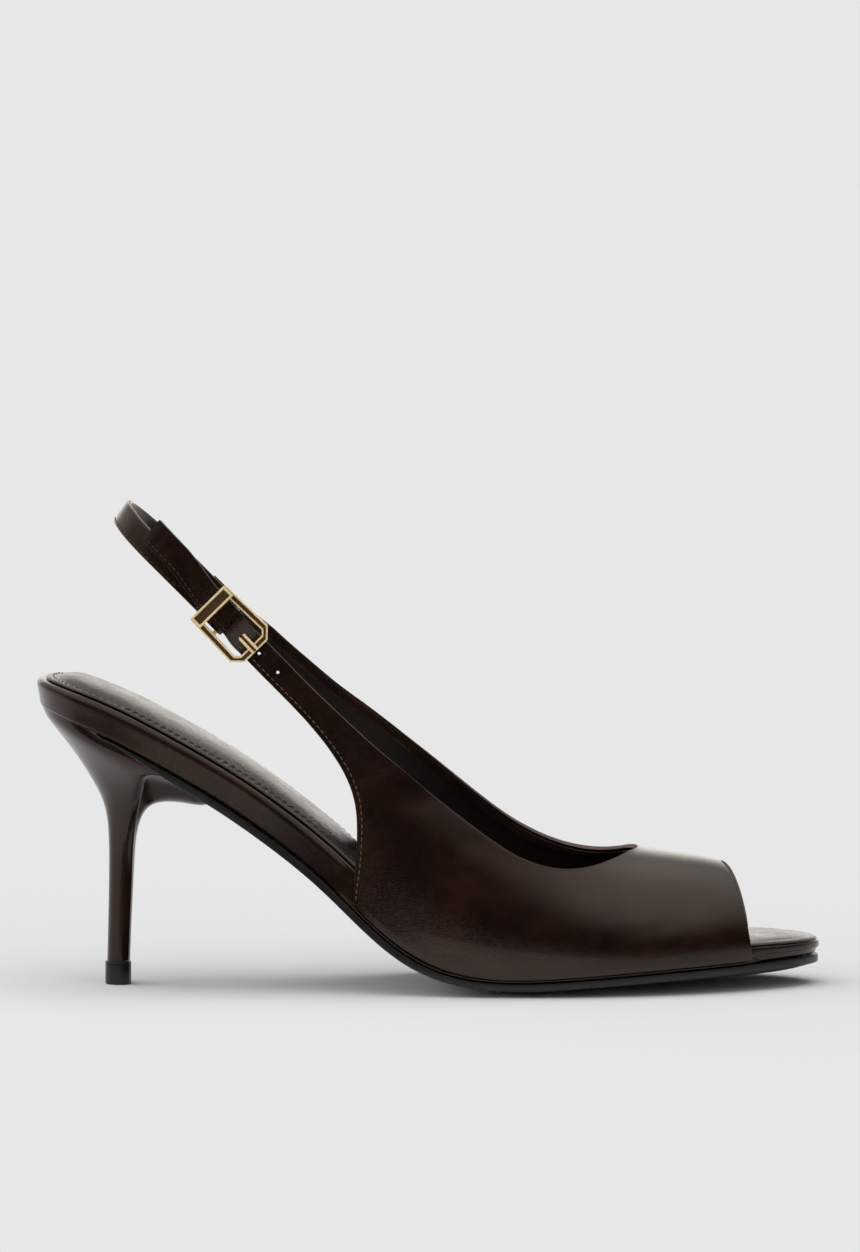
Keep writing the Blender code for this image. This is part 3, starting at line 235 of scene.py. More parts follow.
PLATE_HIGH = 5.3
PRONG_HALF = 1.2
PRONG_THICK = 0.9
PRONG_RING = 1.35
PRONG = ((4.2, 1.9), (6.2, 2.95), (8.2, 3.95), (10.2, 4.35), (12.0, 4.3))

# Fine shape, in millimetres
SEAT_RISE = (-117.0, -98.0)  # the padded seat rises from its very back
SOCK_TOE_REACH = 2.1  # the sock runs closer to the edge round the toe
EDGE_AT_TOE = 0.7  # how much sharper the board's upper edge is under the toe
HEEL_TUCK = 0.2  # the outsole's edge lies this far in over the heel's seat
REBATE_SHIFT = 4.6  # keeps the rebate out of sight behind the wing's slanting rear edge
SOCK_SIDE_ROWS = (6.2,)  # further rows along the outer side, from the board's edge
SOCK_SIDE_SPAN = (-92.0, -18.0, 1.0)
SOCK_STITCH_END = 60.0  # the row stops under the vamp
SEAT_TUCK = (0.955, 0.965, 0.985)  # the heel's rim is drawn in under the board's side
SEAT_BITE = 0.25  # the cover is tucked in under the board
HOLE_SHARE = 0.58  # the leather closes in a little round each punched hole
PRONG_SLIT = (6.9, 2.4, 2.7)  # place along the strap, length, width of the slit the prong leaves by
FRAME_FIELD = (0.36, 0.3)  # border and depth of the frame's sunk field
PLATE_FIELD = (0.5, 0.28)  # and of the keeper plate's
FIELD_SLOPE = 0.12  # width of the step down to a field
LUG_MEET = 0.5  # how deep the lugs run up into the frame
BUCKLE_EDGE = 0.12  # rounding of the buckle's edges
PRONG_EDGE = 0.08
PRONG_ARC = (100, 330, 16)  # first and last angle of the prong's ring, and its points
PRONG_STEPS = 40
FACING_INSETS = (0.6, 1.3, 2.2, 3.1)  # lines of the topline's turned-in edge, from the topline
FACING_THICK = 0.4
QUARTER_INSET = 1.4  # of the rows of stitches, from the rear edges of the wings
TAIL_INSET = 1.0  # and from the tail's lower edge
SLING_STITCHES = (-0.74, -50.0, 44.0)  # share across the sling, and from where to where along it

# The sling's section as (across, through) shares of its half width and half thickness; the faces at
# its two narrow sides between the SLING_CORE points show the raw core
SLING_SECTION = ((-1.0, -0.35), (-0.97, -0.8), (-0.9, -1.0), (0.9, -1.0), (0.97, -0.8), (1.0, -0.35),
                 (1.0, 0.35), (0.97, 0.8), (0.9, 1.0), (-0.9, 1.0), (-0.97, 0.8), (-1.0, 0.35))
SLING_CORE = (5, 11)

# The prong's section as (across, through): two ridges beside a sunk middle
PRONG_SECTION = ((-1.0, -1.0), (1.0, -1.0), (1.0, 0.5), (0.86, 1.0), (0.5, 1.0), (0.36, 0.3),
                 (-0.36, 0.3), (-0.5, 1.0), (-0.86, 1.0), (-1.0, 0.5))
PRONG_FIELD = 5

# Soft troughs and ridges of the upper's outer side: middle x and z, angle of its long axis in side
# view, half length, half width and height, which is negative for a trough
CREASE_COLUMNS = ("x", "z", "angle", "length", "width", "height")
CREASES = (
    (-8.0, 60.0, -20.0, 16.0, 6.0, -0.55),
    (14.0, 44.0, -28.0, 13.0, 3.0, -0.14),
    (60.0, 18.0, 8.0, 12.0, 2.5, -0.12),
    (74.0, 24.0, 30.0, 9.0, 2.5, -0.12),
    (-80.6, 134.0, 44.5, 4.0, 0.9, -0.16),
    (-78.2, 131.3, 50.0, 4.0, 1.0, -0.20),
    (-75.6, 129.0, 40.0, 4.0, 0.9, -0.16),
    (-72.6, 126.2, 47.0, 4.0, 1.1, -0.20),
)

# Mesh steps of the control cages, and stations of the sole, closer where the shape turns faster
SOLE_COLS = 8
UPPER_COLS = 9
FOOTBED_STATIONS = (-98, -91, -83, -75, -67, -59, -51, -44, -37, -33, -29, -27.6, -23, -18, -12, -6,
                    0, 7, 15, 24, 33, 42, 51, 60, 68, 76, 83, 89, 94.8, 96, 100)
SOCK_STATIONS = (-98, -90, -81, -72, -63, -54, -45, -37, -30, -23, -16, -9, -2, 6, 15, 25, 35, 45,
                 55, 65, 74, 82, 89, 95, 100)
OUTSOLE_STATIONS = (-96, -90, -84, -77, -70, -62, -54, -47, -40, -33, -27, -21, -15, -9, -3, 4, 12,
                    21, 31, 41, 51, 61, 70, 78, 85, 91, 96, 100)

# Studio: each is from, to, level at from, level at to, along one axis of the direction
OVERHEAD = (0.7, 0.97, 0.0, 2.02)
FRONT_FILL = (0.0, -0.7, 0.0, 0.95)
LEFT_KEY = (-0.25, -0.8, 0.0, 1.63)
SKY = (0.32, 0.86, 0.0, 1.1)
BACKDROP = (0.1, 0.6, 0.0, 0.5)
HORIZON = (0.8, 1.0, 0.0, 1.5)
LEFT_PANEL = (-0.8, -0.96, 0.0, 0.4)
WARMTH = (1.0, 0.95, 0.89)
ROOM_DIM = 0.02
PAPER = 0.785
# Each card: its size, its middle and how it is turned, in metres and degrees
CARDS = (
    ((6.0, 4.3), (0.0, -2.385, 0.001), (0, 0, 0)),
    ((0.045, 0.022), (-0.092, -0.10, 0.011), (90, 0, 0)),
    ((0.12, 0.03), (-0.07, -0.04, 0.015), (90, 0, 90)),
)
FLOOR_SIZE = 90.0
# Spans of x over which something of the sole comes or goes
TOE_SOFT_SPAN = (84.0, 98.0)
TOE_EASE_SPAN = (50.0, 72.0)
HEEL_TUCK_SPAN = (-82.0, -72.0)
SEAT_FALL = (-60.0, -20.0)
STITCH_LIFT = 0.02                   # of a stitch off the leather


def curve(xs, ys):
    """A smooth curve through a few points, flat beyond its ends."""
    xs = np.array(xs, float)
    ys = np.array(ys, float)
    step = np.diff(xs)
    rise = np.diff(ys) / step
    slope = np.empty_like(ys)
    slope[1:-1] = (rise[:-1] * step[1:] + rise[1:] * step[:-1]) / (step[1:] + step[:-1])
    slope[0] = rise[0]
    slope[-1] = rise[-1]

    def value(x):
        x = np.clip(x, xs[0], xs[-1])
        i = np.clip(np.searchsorted(xs, x, side="right") - 1, 0, len(step) - 1)
        t = (x - xs[i]) / step[i]
        return (ys[i] * (1 + 2 * t) * (1 - t) ** 2 + slope[i] * step[i] * t * (1 - t) ** 2
                + ys[i + 1] * t * t * (3 - 2 * t) - slope[i + 1] * step[i] * t * t * (1 - t))

    return value


def through(points, marks):
    """Points at the marks on a smooth curve that meets the given points at 0, 1, 2 and so on."""
    lines = [curve(range(len(points)), [p[c] for p in points]) for c in range(3)]
    return [tuple(float(line(mark)) for line in lines) for mark in marks]


def column(table, names, name):
    """The named column of a table, as a curve over its first column."""
    k = names.index(name)
    rows = sorted(table)
    return curve([row[0] for row in rows], [row[k] for row in rows])


def smoothstep(x, low, high):
    t = np.clip((x - low) / (high - low), 0.0, 1.0)
    return t * t * (3 - 2 * t)


groove_z = column(SOLE, SOLE_COLUMNS, "groove")
lateral_y = column(SOLE, SOLE_COLUMNS, "lateral")
medial_y = column(SOLE, SOLE_COLUMNS, "medial")
board_thick = column(SOLE, SOLE_COLUMNS, "board")
medial_lift = column(SOLE, SOLE_COLUMNS, "lift")
crest_z = column(LAST, LAST_COLUMNS, "crest")
crest_y = column(LAST, LAST_COLUMNS, "crest_y")
last_square = column(LAST, LAST_COLUMNS, "square")
crown_depth = column(CROWN, CROWN_COLUMNS, "crown")


def sole_normal(x):
    """Direction away from the sole in side view, upright at the back of the seat."""
    slope = (groove_z(x + 0.5) - groove_z(x - 0.5)) * smoothstep(x, HEEL_END, LEAN_START)
    length = np.sqrt(1 + slope * slope)
    return -slope / length, 1 / length


def on_sole(x, y, depth):
    """The point at a distance from the groove line, measured square to it."""
    across = (y + lateral_y(x)) / (lateral_y(x) + medial_y(x))
    nx, nz = sole_normal(x)
    return (x + depth * nx, y, groove_z(x) + medial_lift(x) * np.clip(across, 0, 1) + depth * nz)


def middle_and_half(x):
    """The middle of the sole's outline at a station, and half its width."""
    return (medial_y(x) - lateral_y(x)) / 2, (medial_y(x) + lateral_y(x)) / 2


def outline_edge(x, side):
    """Where the sole's edge lies across it, rounded off at the toe."""
    middle, half = middle_and_half(x)
    t = np.clip((x - TOE_ARC_X) / (TOE_END - TOE_ARC_X), 0, 1)
    return middle + side * half * np.sqrt(1 - t ** TOE_ROUNDNESS)


def toe_arc(angles):
    """Front end of the outline, from the lateral to the medial side."""
    x = TOE_ARC_X + (TOE_END - TOE_ARC_X) * np.cos(angles) ** (2 / TOE_ROUNDNESS)
    middle, half = middle_and_half(x)
    return np.stack([x, middle + half * np.sin(angles)], axis=-1)


def heel_arc(angles):
    """Round back end of the outline, from the lateral to the medial side."""
    middle, half = middle_and_half(HEEL_ARC_X)
    x = HEEL_ARC_X + (HEEL_END - HEEL_ARC_X) * np.cos(angles)
    return np.stack([x, middle + half * np.sin(angles)], axis=-1)


def outline(stations, cols, feathered):
    """Lateral side, toe row, medial side and heel row of the sole's outline."""
    row = np.linspace(-ARC_SPAN, ARC_SPAN, cols + 1)
    toe = toe_arc(row)
    stations = np.array(stations, float)
    sides = [np.stack([stations, outline_edge(stations, side)], axis=-1) for side in (-1, 1)]
    if feathered:
        heel = np.linspace(sides[0][0], sides[1][0], cols + 1)
    else:
        heel = heel_arc(row)
        turn = np.linspace(ARC_SPAN, math.pi / 2, 4)[:3]
        sides = [np.concatenate([heel_arc(sign * turn), side])
                 for sign, side in zip((-1, 1), sides)]
    sides = [np.concatenate([side, toe[end:end + 1]]) for end, side in zip((0, cols), sides)]
    return sides[0], toe, sides[1], heel


def perimeter(lateral, toe, medial, heel):
    return np.concatenate([lateral, toe[1:-1], medial[::-1], heel[-2:0:-1]])


def inset_loop(loop, inset):
    """The outline moved inwards, by one distance or by one for each of its points."""
    ahead = np.roll(loop, -1, axis=0) - np.roll(loop, 1, axis=0)
    ahead /= np.linalg.norm(ahead, axis=1)[:, None]
    inward = np.stack([-ahead[:, 1], ahead[:, 0]], axis=-1)
    return loop + inward * np.reshape(inset, (-1, 1))


def fill_grid(loop, rows, cols):
    """Points of a grid inside the outline, whose edge is the outline itself."""
    lateral = loop[:rows]
    toe = loop[rows - 1:rows + cols]
    medial = loop[rows + cols - 1:2 * rows + cols - 1][::-1]
    heel = np.concatenate([loop[2 * rows + cols - 2:], loop[:1]])[::-1]
    u = np.linspace(0, 1, cols + 1)[None, :, None]
    v = np.linspace(0, 1, rows)[:, None, None]
    grid = lateral[:, None] * (1 - u) + medial[:, None] * u
    for end, weight in ((heel, (1 - v) ** 8), (toe, v ** 8)):
        bow = end[None] - (end[0] * (1 - u) + end[-1] * u)
        grid = grid + weight * bow
    return grid


def linked(name, data):
    obj = bpy.data.objects.new(name, data)
    bpy.context.scene.collection.objects.link(obj)
    return obj


def dressed(name, mesh, materials, replaces):
    """An object of the scene that rides on the shoe's body."""
    obj = linked(name, mesh)
    for material in materials:
        mesh.materials.append(material)
    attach(obj, "root")
    if replaces:
        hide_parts(*replaces)
    return obj


def tube(rings, sides):
    """Faces of a closed tube whose points come ring by ring: its sides, and then its two ends."""
    faces = [(r * sides + k, r * sides + (k + 1) % sides, (r + 1) * sides + (k + 1) % sides,
              (r + 1) * sides + k) for r in range(rings - 1) for k in range(sides)]
    last = (rings - 1) * sides
    return faces + [tuple(range(sides)), tuple(range(last, last + sides))]


def piece(name, verts, faces, materials, replaces=()):
    """A mesh from points in millimetres that rides on the shoe's body, its faces turned outwards."""
    mesh = bpy.data.meshes.new(name)
    mesh.from_pydata([tuple(float(c) * MM for c in v) for v in verts], [], faces)
    bm = bmesh.new()
    bm.from_mesh(mesh)
    bmesh.ops.recalc_face_normals(bm, faces=bm.faces)
    bm.to_mesh(mesh)
    bm.free()
    mesh.shade_smooth()
    return dressed(name, mesh, materials, replaces)


def subdivide(obj):
    modifier = obj.modifiers.new("smooth form", "SUBSURF")
    modifier.levels = modifier.render_levels = 2
    modifier.boundary_smooth = "PRESERVE_CORNERS"


def bevel(obj, width, segments=2, angle=40):
    modifier = obj.modifiers.new("soft edges", "BEVEL")
    modifier.width = width * MM
    modifier.segments = segments
    modifier.limit_method = "ANGLE"
    modifier.angle_limit = math.radians(angle)


def settle(obj, sharp=None):
    """Applies the object's modifiers."""
    mesh = bpy.data.meshes.new_from_object(obj.evaluated_get(bpy.context.evaluated_depsgraph_get()))
    obj.modifiers.clear()
    obj.data = mesh
    if sharp:
        mesh.shade_smooth()
        mesh.set_sharp_from_angle(angle=math.radians(sharp))
    return obj


def sole_plate(name, stations, levels, low_depth, high_depth, materials,
               feathered=False, floor=False, replaces=()):
    """A closed plate over the sole's outline.

    levels are (inset, depth) from the bottom edge to the top edge, where both may be arrays over
    the outline. low_depth and high_depth give the depth of the bottom and the top inside it.
    """
    sides = outline(stations, SOLE_COLS, feathered)
    base = perimeter(*sides)
    rows = len(sides[0])
    count = len(base)
    verts = []

    def add(points, depth):
        start = len(verts)
        for (x, y), d in zip(points, np.broadcast_to(depth, len(points))):
            px, py, pz = on_sole(x, y, d)
            verts.append((px, py, max(pz, 0.0) if floor else pz))
        return start

    starts = [add(inset_loop(base, inset), depth) for inset, depth in levels]
    faces = tube(len(levels), count)[:-2]
    for start, (inset, depth), inner in ((starts[0], levels[0], low_depth),
                                         (starts[-1], levels[-1], high_depth)):
        loop = inset_loop(base, inset)
        grid = fill_grid(loop, rows, SOLE_COLS)
        edge = {}
        for k in range(rows):
            edge[(k, 0)] = k
            edge[(k, SOLE_COLS)] = 2 * rows + SOLE_COLS - 2 - k
        for c in range(1, SOLE_COLS):
            edge[(rows - 1, c)] = rows - 1 + c
            edge[(0, c)] = count - c
        ids = {}
        for r in range(rows):
            for c in range(SOLE_COLS + 1):
                if (r, c) in edge:
                    ids[(r, c)] = start + edge[(r, c)]
                else:
                    x, y = grid[r, c]
                    u = 2 * c / SOLE_COLS - 1
                    ids[(r, c)] = add([(x, y)], inner(x, u))
        for r in range(rows - 1):
            for c in range(SOLE_COLS):
                faces.append((ids[(r, c)], ids[(r + 1, c)], ids[(r + 1, c + 1)], ids[(r, c + 1)]))
    return piece(name, verts, faces, materials, replaces)


def covered(x):
    """1 where the vamp covers the board's side, 0 where the side shows."""
    return smoothstep(x, -29.0, -27.6) * (1 - smoothstep(x, 94.8, 96.0))


def outsole_thick(x):
    full = smoothstep(x, OUTSOLE_START, OUTSOLE_FULL)
    return OUTSOLE_FEATHER + (OUTSOLE_THICK - OUTSOLE_FEATHER) * full


def seat_depth(x):
    """Depth of the heel's seat: under the board at the back, under the outsole in front."""
    ahead = smoothstep(x, OUTSOLE_START - 0.5, OUTSOLE_START + 1.5)
    return SEAT_BITE - ahead * (outsole_thick(x) + GAP)


def heel_half_ring(row, side):
    """One side of a ring, from its back to the tip of its tongue, as (x, y)."""
    v = dict(zip(HEEL_COLUMNS, row))
    widest = v["back_x"] + HEEL_WIDEST * (v["corner_x"] - v["back_x"])
    points = []
    for angle in np.radians(HEEL_BACK_ANGLES):
        x = widest + (v["back_x"] - widest) * math.cos(angle) ** HEEL_FULLNESS
        points.append((x, v["half"] * math.sin(angle) ** HEEL_FULLNESS))
    points.append(((widest + v["corner_x"]) / 2, (v["half"] * 2 + v["corner_y"]) / 3))
    points.append((v["corner_x"], v["corner_y"]))
    points.append(((v["corner_x"] + 2 * v["valley_x"]) / 3, (v["corner_y"] + v["valley_y"]) / 2))
    points.append((v["valley_x"], v["valley_y"]))
    reach = v["front_x"] - v["valley_x"]
    for share, width in TONGUE_SHARES:
        points.append((v["valley_x"] + share * reach, v["tongue"] * width))
    points.append((v["front_x"], 0.0))
    return [(x, side * y) for x, y in points]


def heel_ring(row, seat):
    """A whole ring in three dimensions; the first one lies on the seat."""
    v = dict(zip(HEEL_COLUMNS, row))
    lateral = heel_half_ring(row, -1)
    medial = heel_half_ring(row, 1)
    ring = []
    for x, y in lateral + medial[-2:0:-1]:
        if seat:
            ring.append(seat_point(x, y))
        else:
            t = (x - v["back_x"]) / (v["front_x"] - v["back_x"])
            z = v["back_z"] + (v["front_z"] - v["back_z"]) * t + v["bulge"] * 4 * t * (1 - t)
            ring.append((x, y, z))
    return ring


def seat_point(x, y):
    depth = seat_depth(x)
    nx = sole_normal(x)[0]
    px, py, pz = on_sole(x - depth * nx, y, depth)
    edge = -lateral_y(x) if y < 0 else medial_y(x)
    limit = abs(edge) - SEAT_MARGIN
    return (px, float(np.clip(py, -limit, limit)), pz)


def loop_frame(along):
    """Middle of the sling, its tangent, outward normal and width direction.

    along is measured from the back centre, positive on the lateral side.
    """
    side = -1.0 if along < 0 else 1.0
    length = abs(along)
    down = np.array((math.cos(LOOP_SLOPE), 0.0, -math.sin(LOOP_SLOPE)))
    up = np.array((math.sin(LOOP_SLOPE), 0.0, math.cos(LOOP_SLOPE)))
    outward = np.array((0.0, -side, 0.0))
    quarter = LOOP_RADIUS * math.pi / 2
    angle = min(length / LOOP_RADIUS, math.pi / 2)
    normal = -math.cos(angle) * down + math.sin(angle) * outward
    tangent = side * (math.sin(angle) * down + math.cos(angle) * outward)
    point = np.array(LOOP_CENTRE) + LOOP_RADIUS * normal + max(length - quarter, 0.0) * down
    flare = LOOP_FLARE * math.cos(angle)
    width = math.cos(flare) * up + math.sin(flare) * normal
    normal = math.cos(flare) * normal - math.sin(flare) * up
    return point, tangent, normal, width


def vamp_foot(x, side):
    """Height of the vamp's lower edge at a station."""
    lift = medial_lift(x) if side > 0 else 0.0
    return groove_z(x) + lift + LASTING_DEPTH / sole_normal(x)[1]


def arch_point(x, turn, side):
    """A point of the last: turn is 0 at the board and 1 at the crest."""
    low = vamp_foot(x, side)
    square = last_square(x)
    angle = np.clip(turn, 0, 1) * math.pi / 2
    z = low + (crest_z(x) - low) * math.sin(angle) ** (2 / square)
    nx, nz = sole_normal(x)
    depth = min(LASTING_DEPTH + (z - low) * nz, board_thick(x))
    foot = x - depth * nx
    edge = outline_edge(foot, side) + side * OVERLAY
    y = crest_y(x) + (edge - crest_y(x)) * math.cos(angle) ** (2 / square)
    rise = (z - low) / FLANK_HEIGHT
    swell = FLANK * rise * math.exp(1 - rise) * math.cos(angle)
    return (x, y + side * swell, z)


def turn_at(x, z, side):
    """The turn at which the arch at a station reaches a height."""
    low = vamp_foot(x, side)
    share = np.clip((z - low) / (crest_z(x) - low), 0, 1)
    return math.asin(share ** (last_square(x) / 2)) * 2 / math.pi


def wing_row(row, side, cols, mix, out):
    """Points of a wing from its lower end to the topline; mix draws them to the ankle strap."""
    low_x, low_z, top_x, top_z = row
    low_turn = 0.0 if low_z is None else turn_at(low_x, low_z, side)
    top_turn = turn_at(top_x, top_z, side)
    points = []
    for f in np.linspace(0, 1, cols + 1):
        x, y, z = arch_point(low_x + (top_x - low_x) * f, low_turn + (top_turn - low_turn) * f,
                             side)
        points.append((x, y * (1 - mix) + side * (LOOP_RADIUS + out) * mix, z))
    return points


def wing_rows(table, side, cols):
    """All rows of a wing, drawn more and more to the ankle strap that carries on from it."""
    out = (STRAP if side < 0 else MEDIAL_LAP)[0][1] + WALL / 2
    return [wing_row(row, side, cols, smoothstep(k, WING_TURN, len(table) - 1), out)
            for k, row in enumerate(table)]


def strap_bow(along):
    """How far the strap lies above the buckle's middle."""
    return (STRAP_BOW * (1 - smoothstep(along, *STRAP_BOW_SPAN))
            + TAIL_LIFT * (1 - smoothstep(along, *TAIL_LIFT_SPAN)))


def strap_rise(along, side):
    """How far the strap, or the inner lap, lies above the sling."""
    if side > 0:
        return BUCKLE_RISE + strap_bow(along)
    return BUCKLE_RISE * smoothstep(along, *LAP_RISE_SPAN)


def strap_row(along, out, side, cols):
    """Points across the strap, from its lower to its upper edge."""
    point, _, normal, width = loop_frame(side * (BAR_ALONG + along))
    middle = point + width * strap_rise(along, side) + normal * (out + WALL / 2)
    return [tuple(middle + width * STRAP_HALF * t) for t in np.linspace(-1, 1, cols + 1)]


def upper_surface(cols):
    """Outer surface of the upper: points and quads."""
    verts = []
    faces = []

    def add(points):
        verts.extend(points)
        return list(range(len(verts) - len(points), len(verts)))

    def bridge(first, second):
        for k in range(len(first) - 1):
            faces.append((first[k], first[k + 1], second[k + 1], second[k]))

    previous = None
    for foot_x, top_x in VAMP:
        rows = [[arch_point(foot_x + (top_x - foot_x) * f ** VAMP_BIAS, f, side)
                 for f in np.linspace(0, 1, cols + 1)] for side in (-1, 1)]
        ids = add(rows[0] + rows[1][-2::-1])
        if previous:
            bridge(previous, ids)
        previous = ids
    for side, table, strap in ((-1, LATERAL_WING, STRAP), (1, MEDIAL_WING, MEDIAL_LAP)):
        last = previous[:cols + 1] if side < 0 else previous[cols:][::-1]
        tail = [strap_row(along, out, -side, cols) for along, out in strap]
        for points in wing_rows(table, side, cols) + tail:
            ids = add(points)
            bridge(last, ids)
            last = ids
    return verts, faces


def buckle_matrix():
    """The buckle's frame: x along the strap to the toe, y up across it, z outward."""
    point, tangent, normal, width = loop_frame(BAR_ALONG)
    origin = Vector((point + width * BUCKLE_RISE) * MM)
    matrix = Matrix((tangent, width, normal)).transposed().to_4x4()
    matrix.translation = origin
    return matrix


def sling_path():
    """Stations of the sling: its middle, width direction and thickness."""
    rows = []
    steps = np.concatenate([np.linspace(-BAR_ALONG - SLING_LAP, -SLING_ARC, 4)[:-1],
                            np.linspace(-SLING_ARC, SLING_ARC, 21),
                            np.linspace(SLING_ARC, BAR_ALONG - SLING_BEND, 4)[1:]])
    for along in steps:
        point, _, normal, width = loop_frame(along)
        near = smoothstep(along, *SLING_THIN_SPAN)
        rise = SLING_RISE * smoothstep(along, *SLING_RISE_SPAN)
        thick = SLING_THICK + (FOLD_THICK - SLING_THICK) * near
        rows.append((point + width * rise, width, thick))
    point, tangent, normal, width = loop_frame(BAR_ALONG)
    centre = point + width * SLING_RISE + normal * BAR_OUT
    radius = BAR_OUT
    for angle in np.radians((-90, -60, -30, 0, 30, 60, 90)):
        outward = math.cos(angle) * tangent + math.sin(angle) * normal
        rows.append((centre + outward * radius, width, FOLD_THICK))
    for along, out in FOLD:
        place = point + width * SLING_RISE + tangent * along + normal * out
        rows.append((place, width, FOLD_THICK))
    return rows


def frame_outline():
    """The frame's C shape in the buckle's plane, from its upper end round the front and back."""
    wide = FRAME_HALF_FRONT
    inner = FRAME_HALF - FRAME_BAR
    inner_front = wide - FRAME_BAR
    inside = FRAME_FRONT - FRAME_BAR
    outer_half = [(FRAME_BACK, FRAME_HALF), (FRAME_FRONT - FRAME_CHAMFER, wide),
                  (FRAME_FRONT, wide - FRAME_CHAMFER)]
    inner_half = [(inside, inner_front - FRAME_NOTCH), (inside - FRAME_NOTCH, inner_front),
                  (FRAME_BACK, inner)]
    mirrored = [[(x, -y) for x, y in reversed(points)] for points in (outer_half, inner_half)]
    return outer_half + mirrored[0] + mirrored[1] + inner_half


def node(tree, kind, inputs=None, **settings):
    """A shader node with its settings, whose inputs are values or other nodes' outputs."""
    made = tree.nodes.new("ShaderNode" + kind)
    for key, value in settings.items():
        setattr(made, key, value)
    for key, value in (inputs or {}).items():
        if isinstance(value, bpy.types.NodeSocket):
            tree.links.new(value, made.inputs[key])
        else:
            made.inputs[key].default_value = value
    return made


def ramp(tree, value, low, high, start=0.0, end=1.0):
    return node(tree, "MapRange", {"Value": value, "From Min": low, "From Max": high, "To Min": start,
                                   "To Max": end}, interpolation_type="SMOOTHSTEP").outputs["Result"]


def noise(tree, place, size, detail=3.0, roughness=0.5, distortion=0.0):
    """Noise whose features are about size millimetres wide."""
    return node(tree, "TexNoise", {"Vector": place, "Scale": 1.0 / (size * MM), "Detail": detail,
                                   "Roughness": roughness, "Distortion": distortion}).outputs["Fac"]


def mix_color(tree, factor, first, second):
    made = node(tree, "Mix", data_type="RGBA")
    for key, value in ((0, factor), (6, first), (7, second)):
        if isinstance(value, bpy.types.NodeSocket):
            tree.links.new(value, made.inputs[key])
        else:
            made.inputs[key].default_value = value if key == 0 else (*value, 1)
    return made.outputs[2]


def new_material(name, **values):
    material = bpy.data.materials.new(name)
    material.use_nodes = True
    tree = material.node_tree
    shader = tree.nodes["Principled BSDF"]
    for key, value in values.items():
        shader.inputs[key.replace("_", " ")].default_value = value
    place = node(tree, "TexCoord").outputs["Object"]
    return material, tree, shader, place


def dye(tree, shader, cloud, dark, light):
    tree.links.new(mix_color(tree, cloud, dark, light), shader.inputs["Base Color"])


def gloss(tree, shader, cloud, least, most):
    tree.links.new(ramp(tree, cloud, 0.3, 0.7, least, most), shader.inputs["Roughness"])


def relief(tree, shader, height, depth):
    bump = node(tree, "Bump", {"Height": height, "Distance": depth * MM})
    tree.links.new(bump.outputs[0], shader.inputs["Normal"])


def leather(name, dark, light, roughness, coat=0.06, coat_roughness=0.06, grain=0.012, wave=0.10):
    """Polished calf: mottled dye, fine pores and a slow unevenness; grain and wave are depths in mm."""
    material, tree, shader, place = new_material(
        name, Coat_Weight=coat, Coat_Roughness=coat_roughness, Specular_Tint=(1.0, 0.84, 0.74, 1))
    cloud = ramp(tree, noise(tree, place, 16, 5, 0.6, 0.6), 0.36, 0.66)
    tint = mix_color(tree, cloud, dark, light)
    speck = ramp(tree, noise(tree, place, 0.9, 2), 0.35, 0.75, 0.82, 1.12)
    tinted = node(tree, "VectorMath", {0: tint, 1: speck}, operation="MULTIPLY").outputs[0]
    tree.links.new(tinted, shader.inputs["Base Color"])
    gloss(tree, shader, noise(tree, place, 7, 4), roughness * 0.85, roughness * 1.2)
    pores = node(tree, "TexVoronoi", {"Vector": place, "Scale": 1 / (0.55 * MM)},
                 feature="DISTANCE_TO_EDGE").outputs["Distance"]
    fine = node(tree, "Bump", {"Height": ramp(tree, pores, 0.0, 0.25), "Distance": grain * MM})
    slow = node(tree, "Bump", {"Height": noise(tree, place, 11, 2), "Distance": wave * MM,
                               "Normal": fine.outputs[0]})
    for key in ("Normal", "Coat Normal"):
        tree.links.new(slow.outputs[0], shader.inputs[key])
    return material


def edge_paint(name, dark, light):
    """Raw or painted edge of the leather, streaky and dull."""
    material, tree, shader, place = new_material(name, Roughness=0.55)
    dye(tree, shader, ramp(tree, noise(tree, place, 1.6, 4, 0.7), 0.35, 0.7), dark, light)
    relief(tree, shader, noise(tree, place, 0.25, 3), 0.03)
    return material


def thread(name, color):
    """Twisted sewing thread."""
    material, tree, shader, place = new_material(name, Roughness=0.5)
    dye(tree, shader, noise(tree, place, 1.2, 2), tuple(0.7 * c for c in color), color)
    twist = node(tree, "TexWave", {"Vector": place, "Scale": 600.0, "Distortion": 1.0}).outputs["Fac"]
    relief(tree, shader, twist, 0.04)
    return material


def gold(name, color, roughness):
    """Polished plated metal with a faint brushed unevenness and tiny handling marks."""
    material, tree, shader, place = new_material(name, Metallic=0.28)
    dye(tree, shader, noise(tree, place, 2.5, 3), tuple(0.86 * c for c in color), color)
    gloss(tree, shader, noise(tree, place, 0.8, 4, 0.7), roughness * 0.7, roughness * 1.4)
    relief(tree, shader, noise(tree, place, 0.5, 2), 0.006)
    return material


def rubber(name, dark, light, roughness, grain):
    """Sole unit: dull, faintly mottled and finely grained."""
    material, tree, shader, place = new_material(name)
    dye(tree, shader, ramp(tree, noise(tree, place, 6, 5, 0.65), 0.3, 0.7), dark, light)
    gloss(tree, shader, noise(tree, place, 4, 3), roughness * 0.85, roughness * 1.15)
    relief(tree, shader, noise(tree, place, 0.5, 3), grain)
    return material


def build_camera():
    camera = bpy.data.cameras.new("camera")
    camera.sensor_width = SENSOR
    camera.lens = SENSOR * VIEW_DISTANCE / VIEW_HEIGHT
    camera.clip_end = 200.0
    obj = linked("camera", camera)
    back = Vector((0.0, -math.cos(VIEW_ELEVATION), math.sin(VIEW_ELEVATION)))
    obj.location = Vector(VIEW_AIM) + back * VIEW_DISTANCE
    obj.rotation_euler = (math.pi / 2 - VIEW_ELEVATION, 0.0, 0.0)
    bpy.context.scene.camera = obj


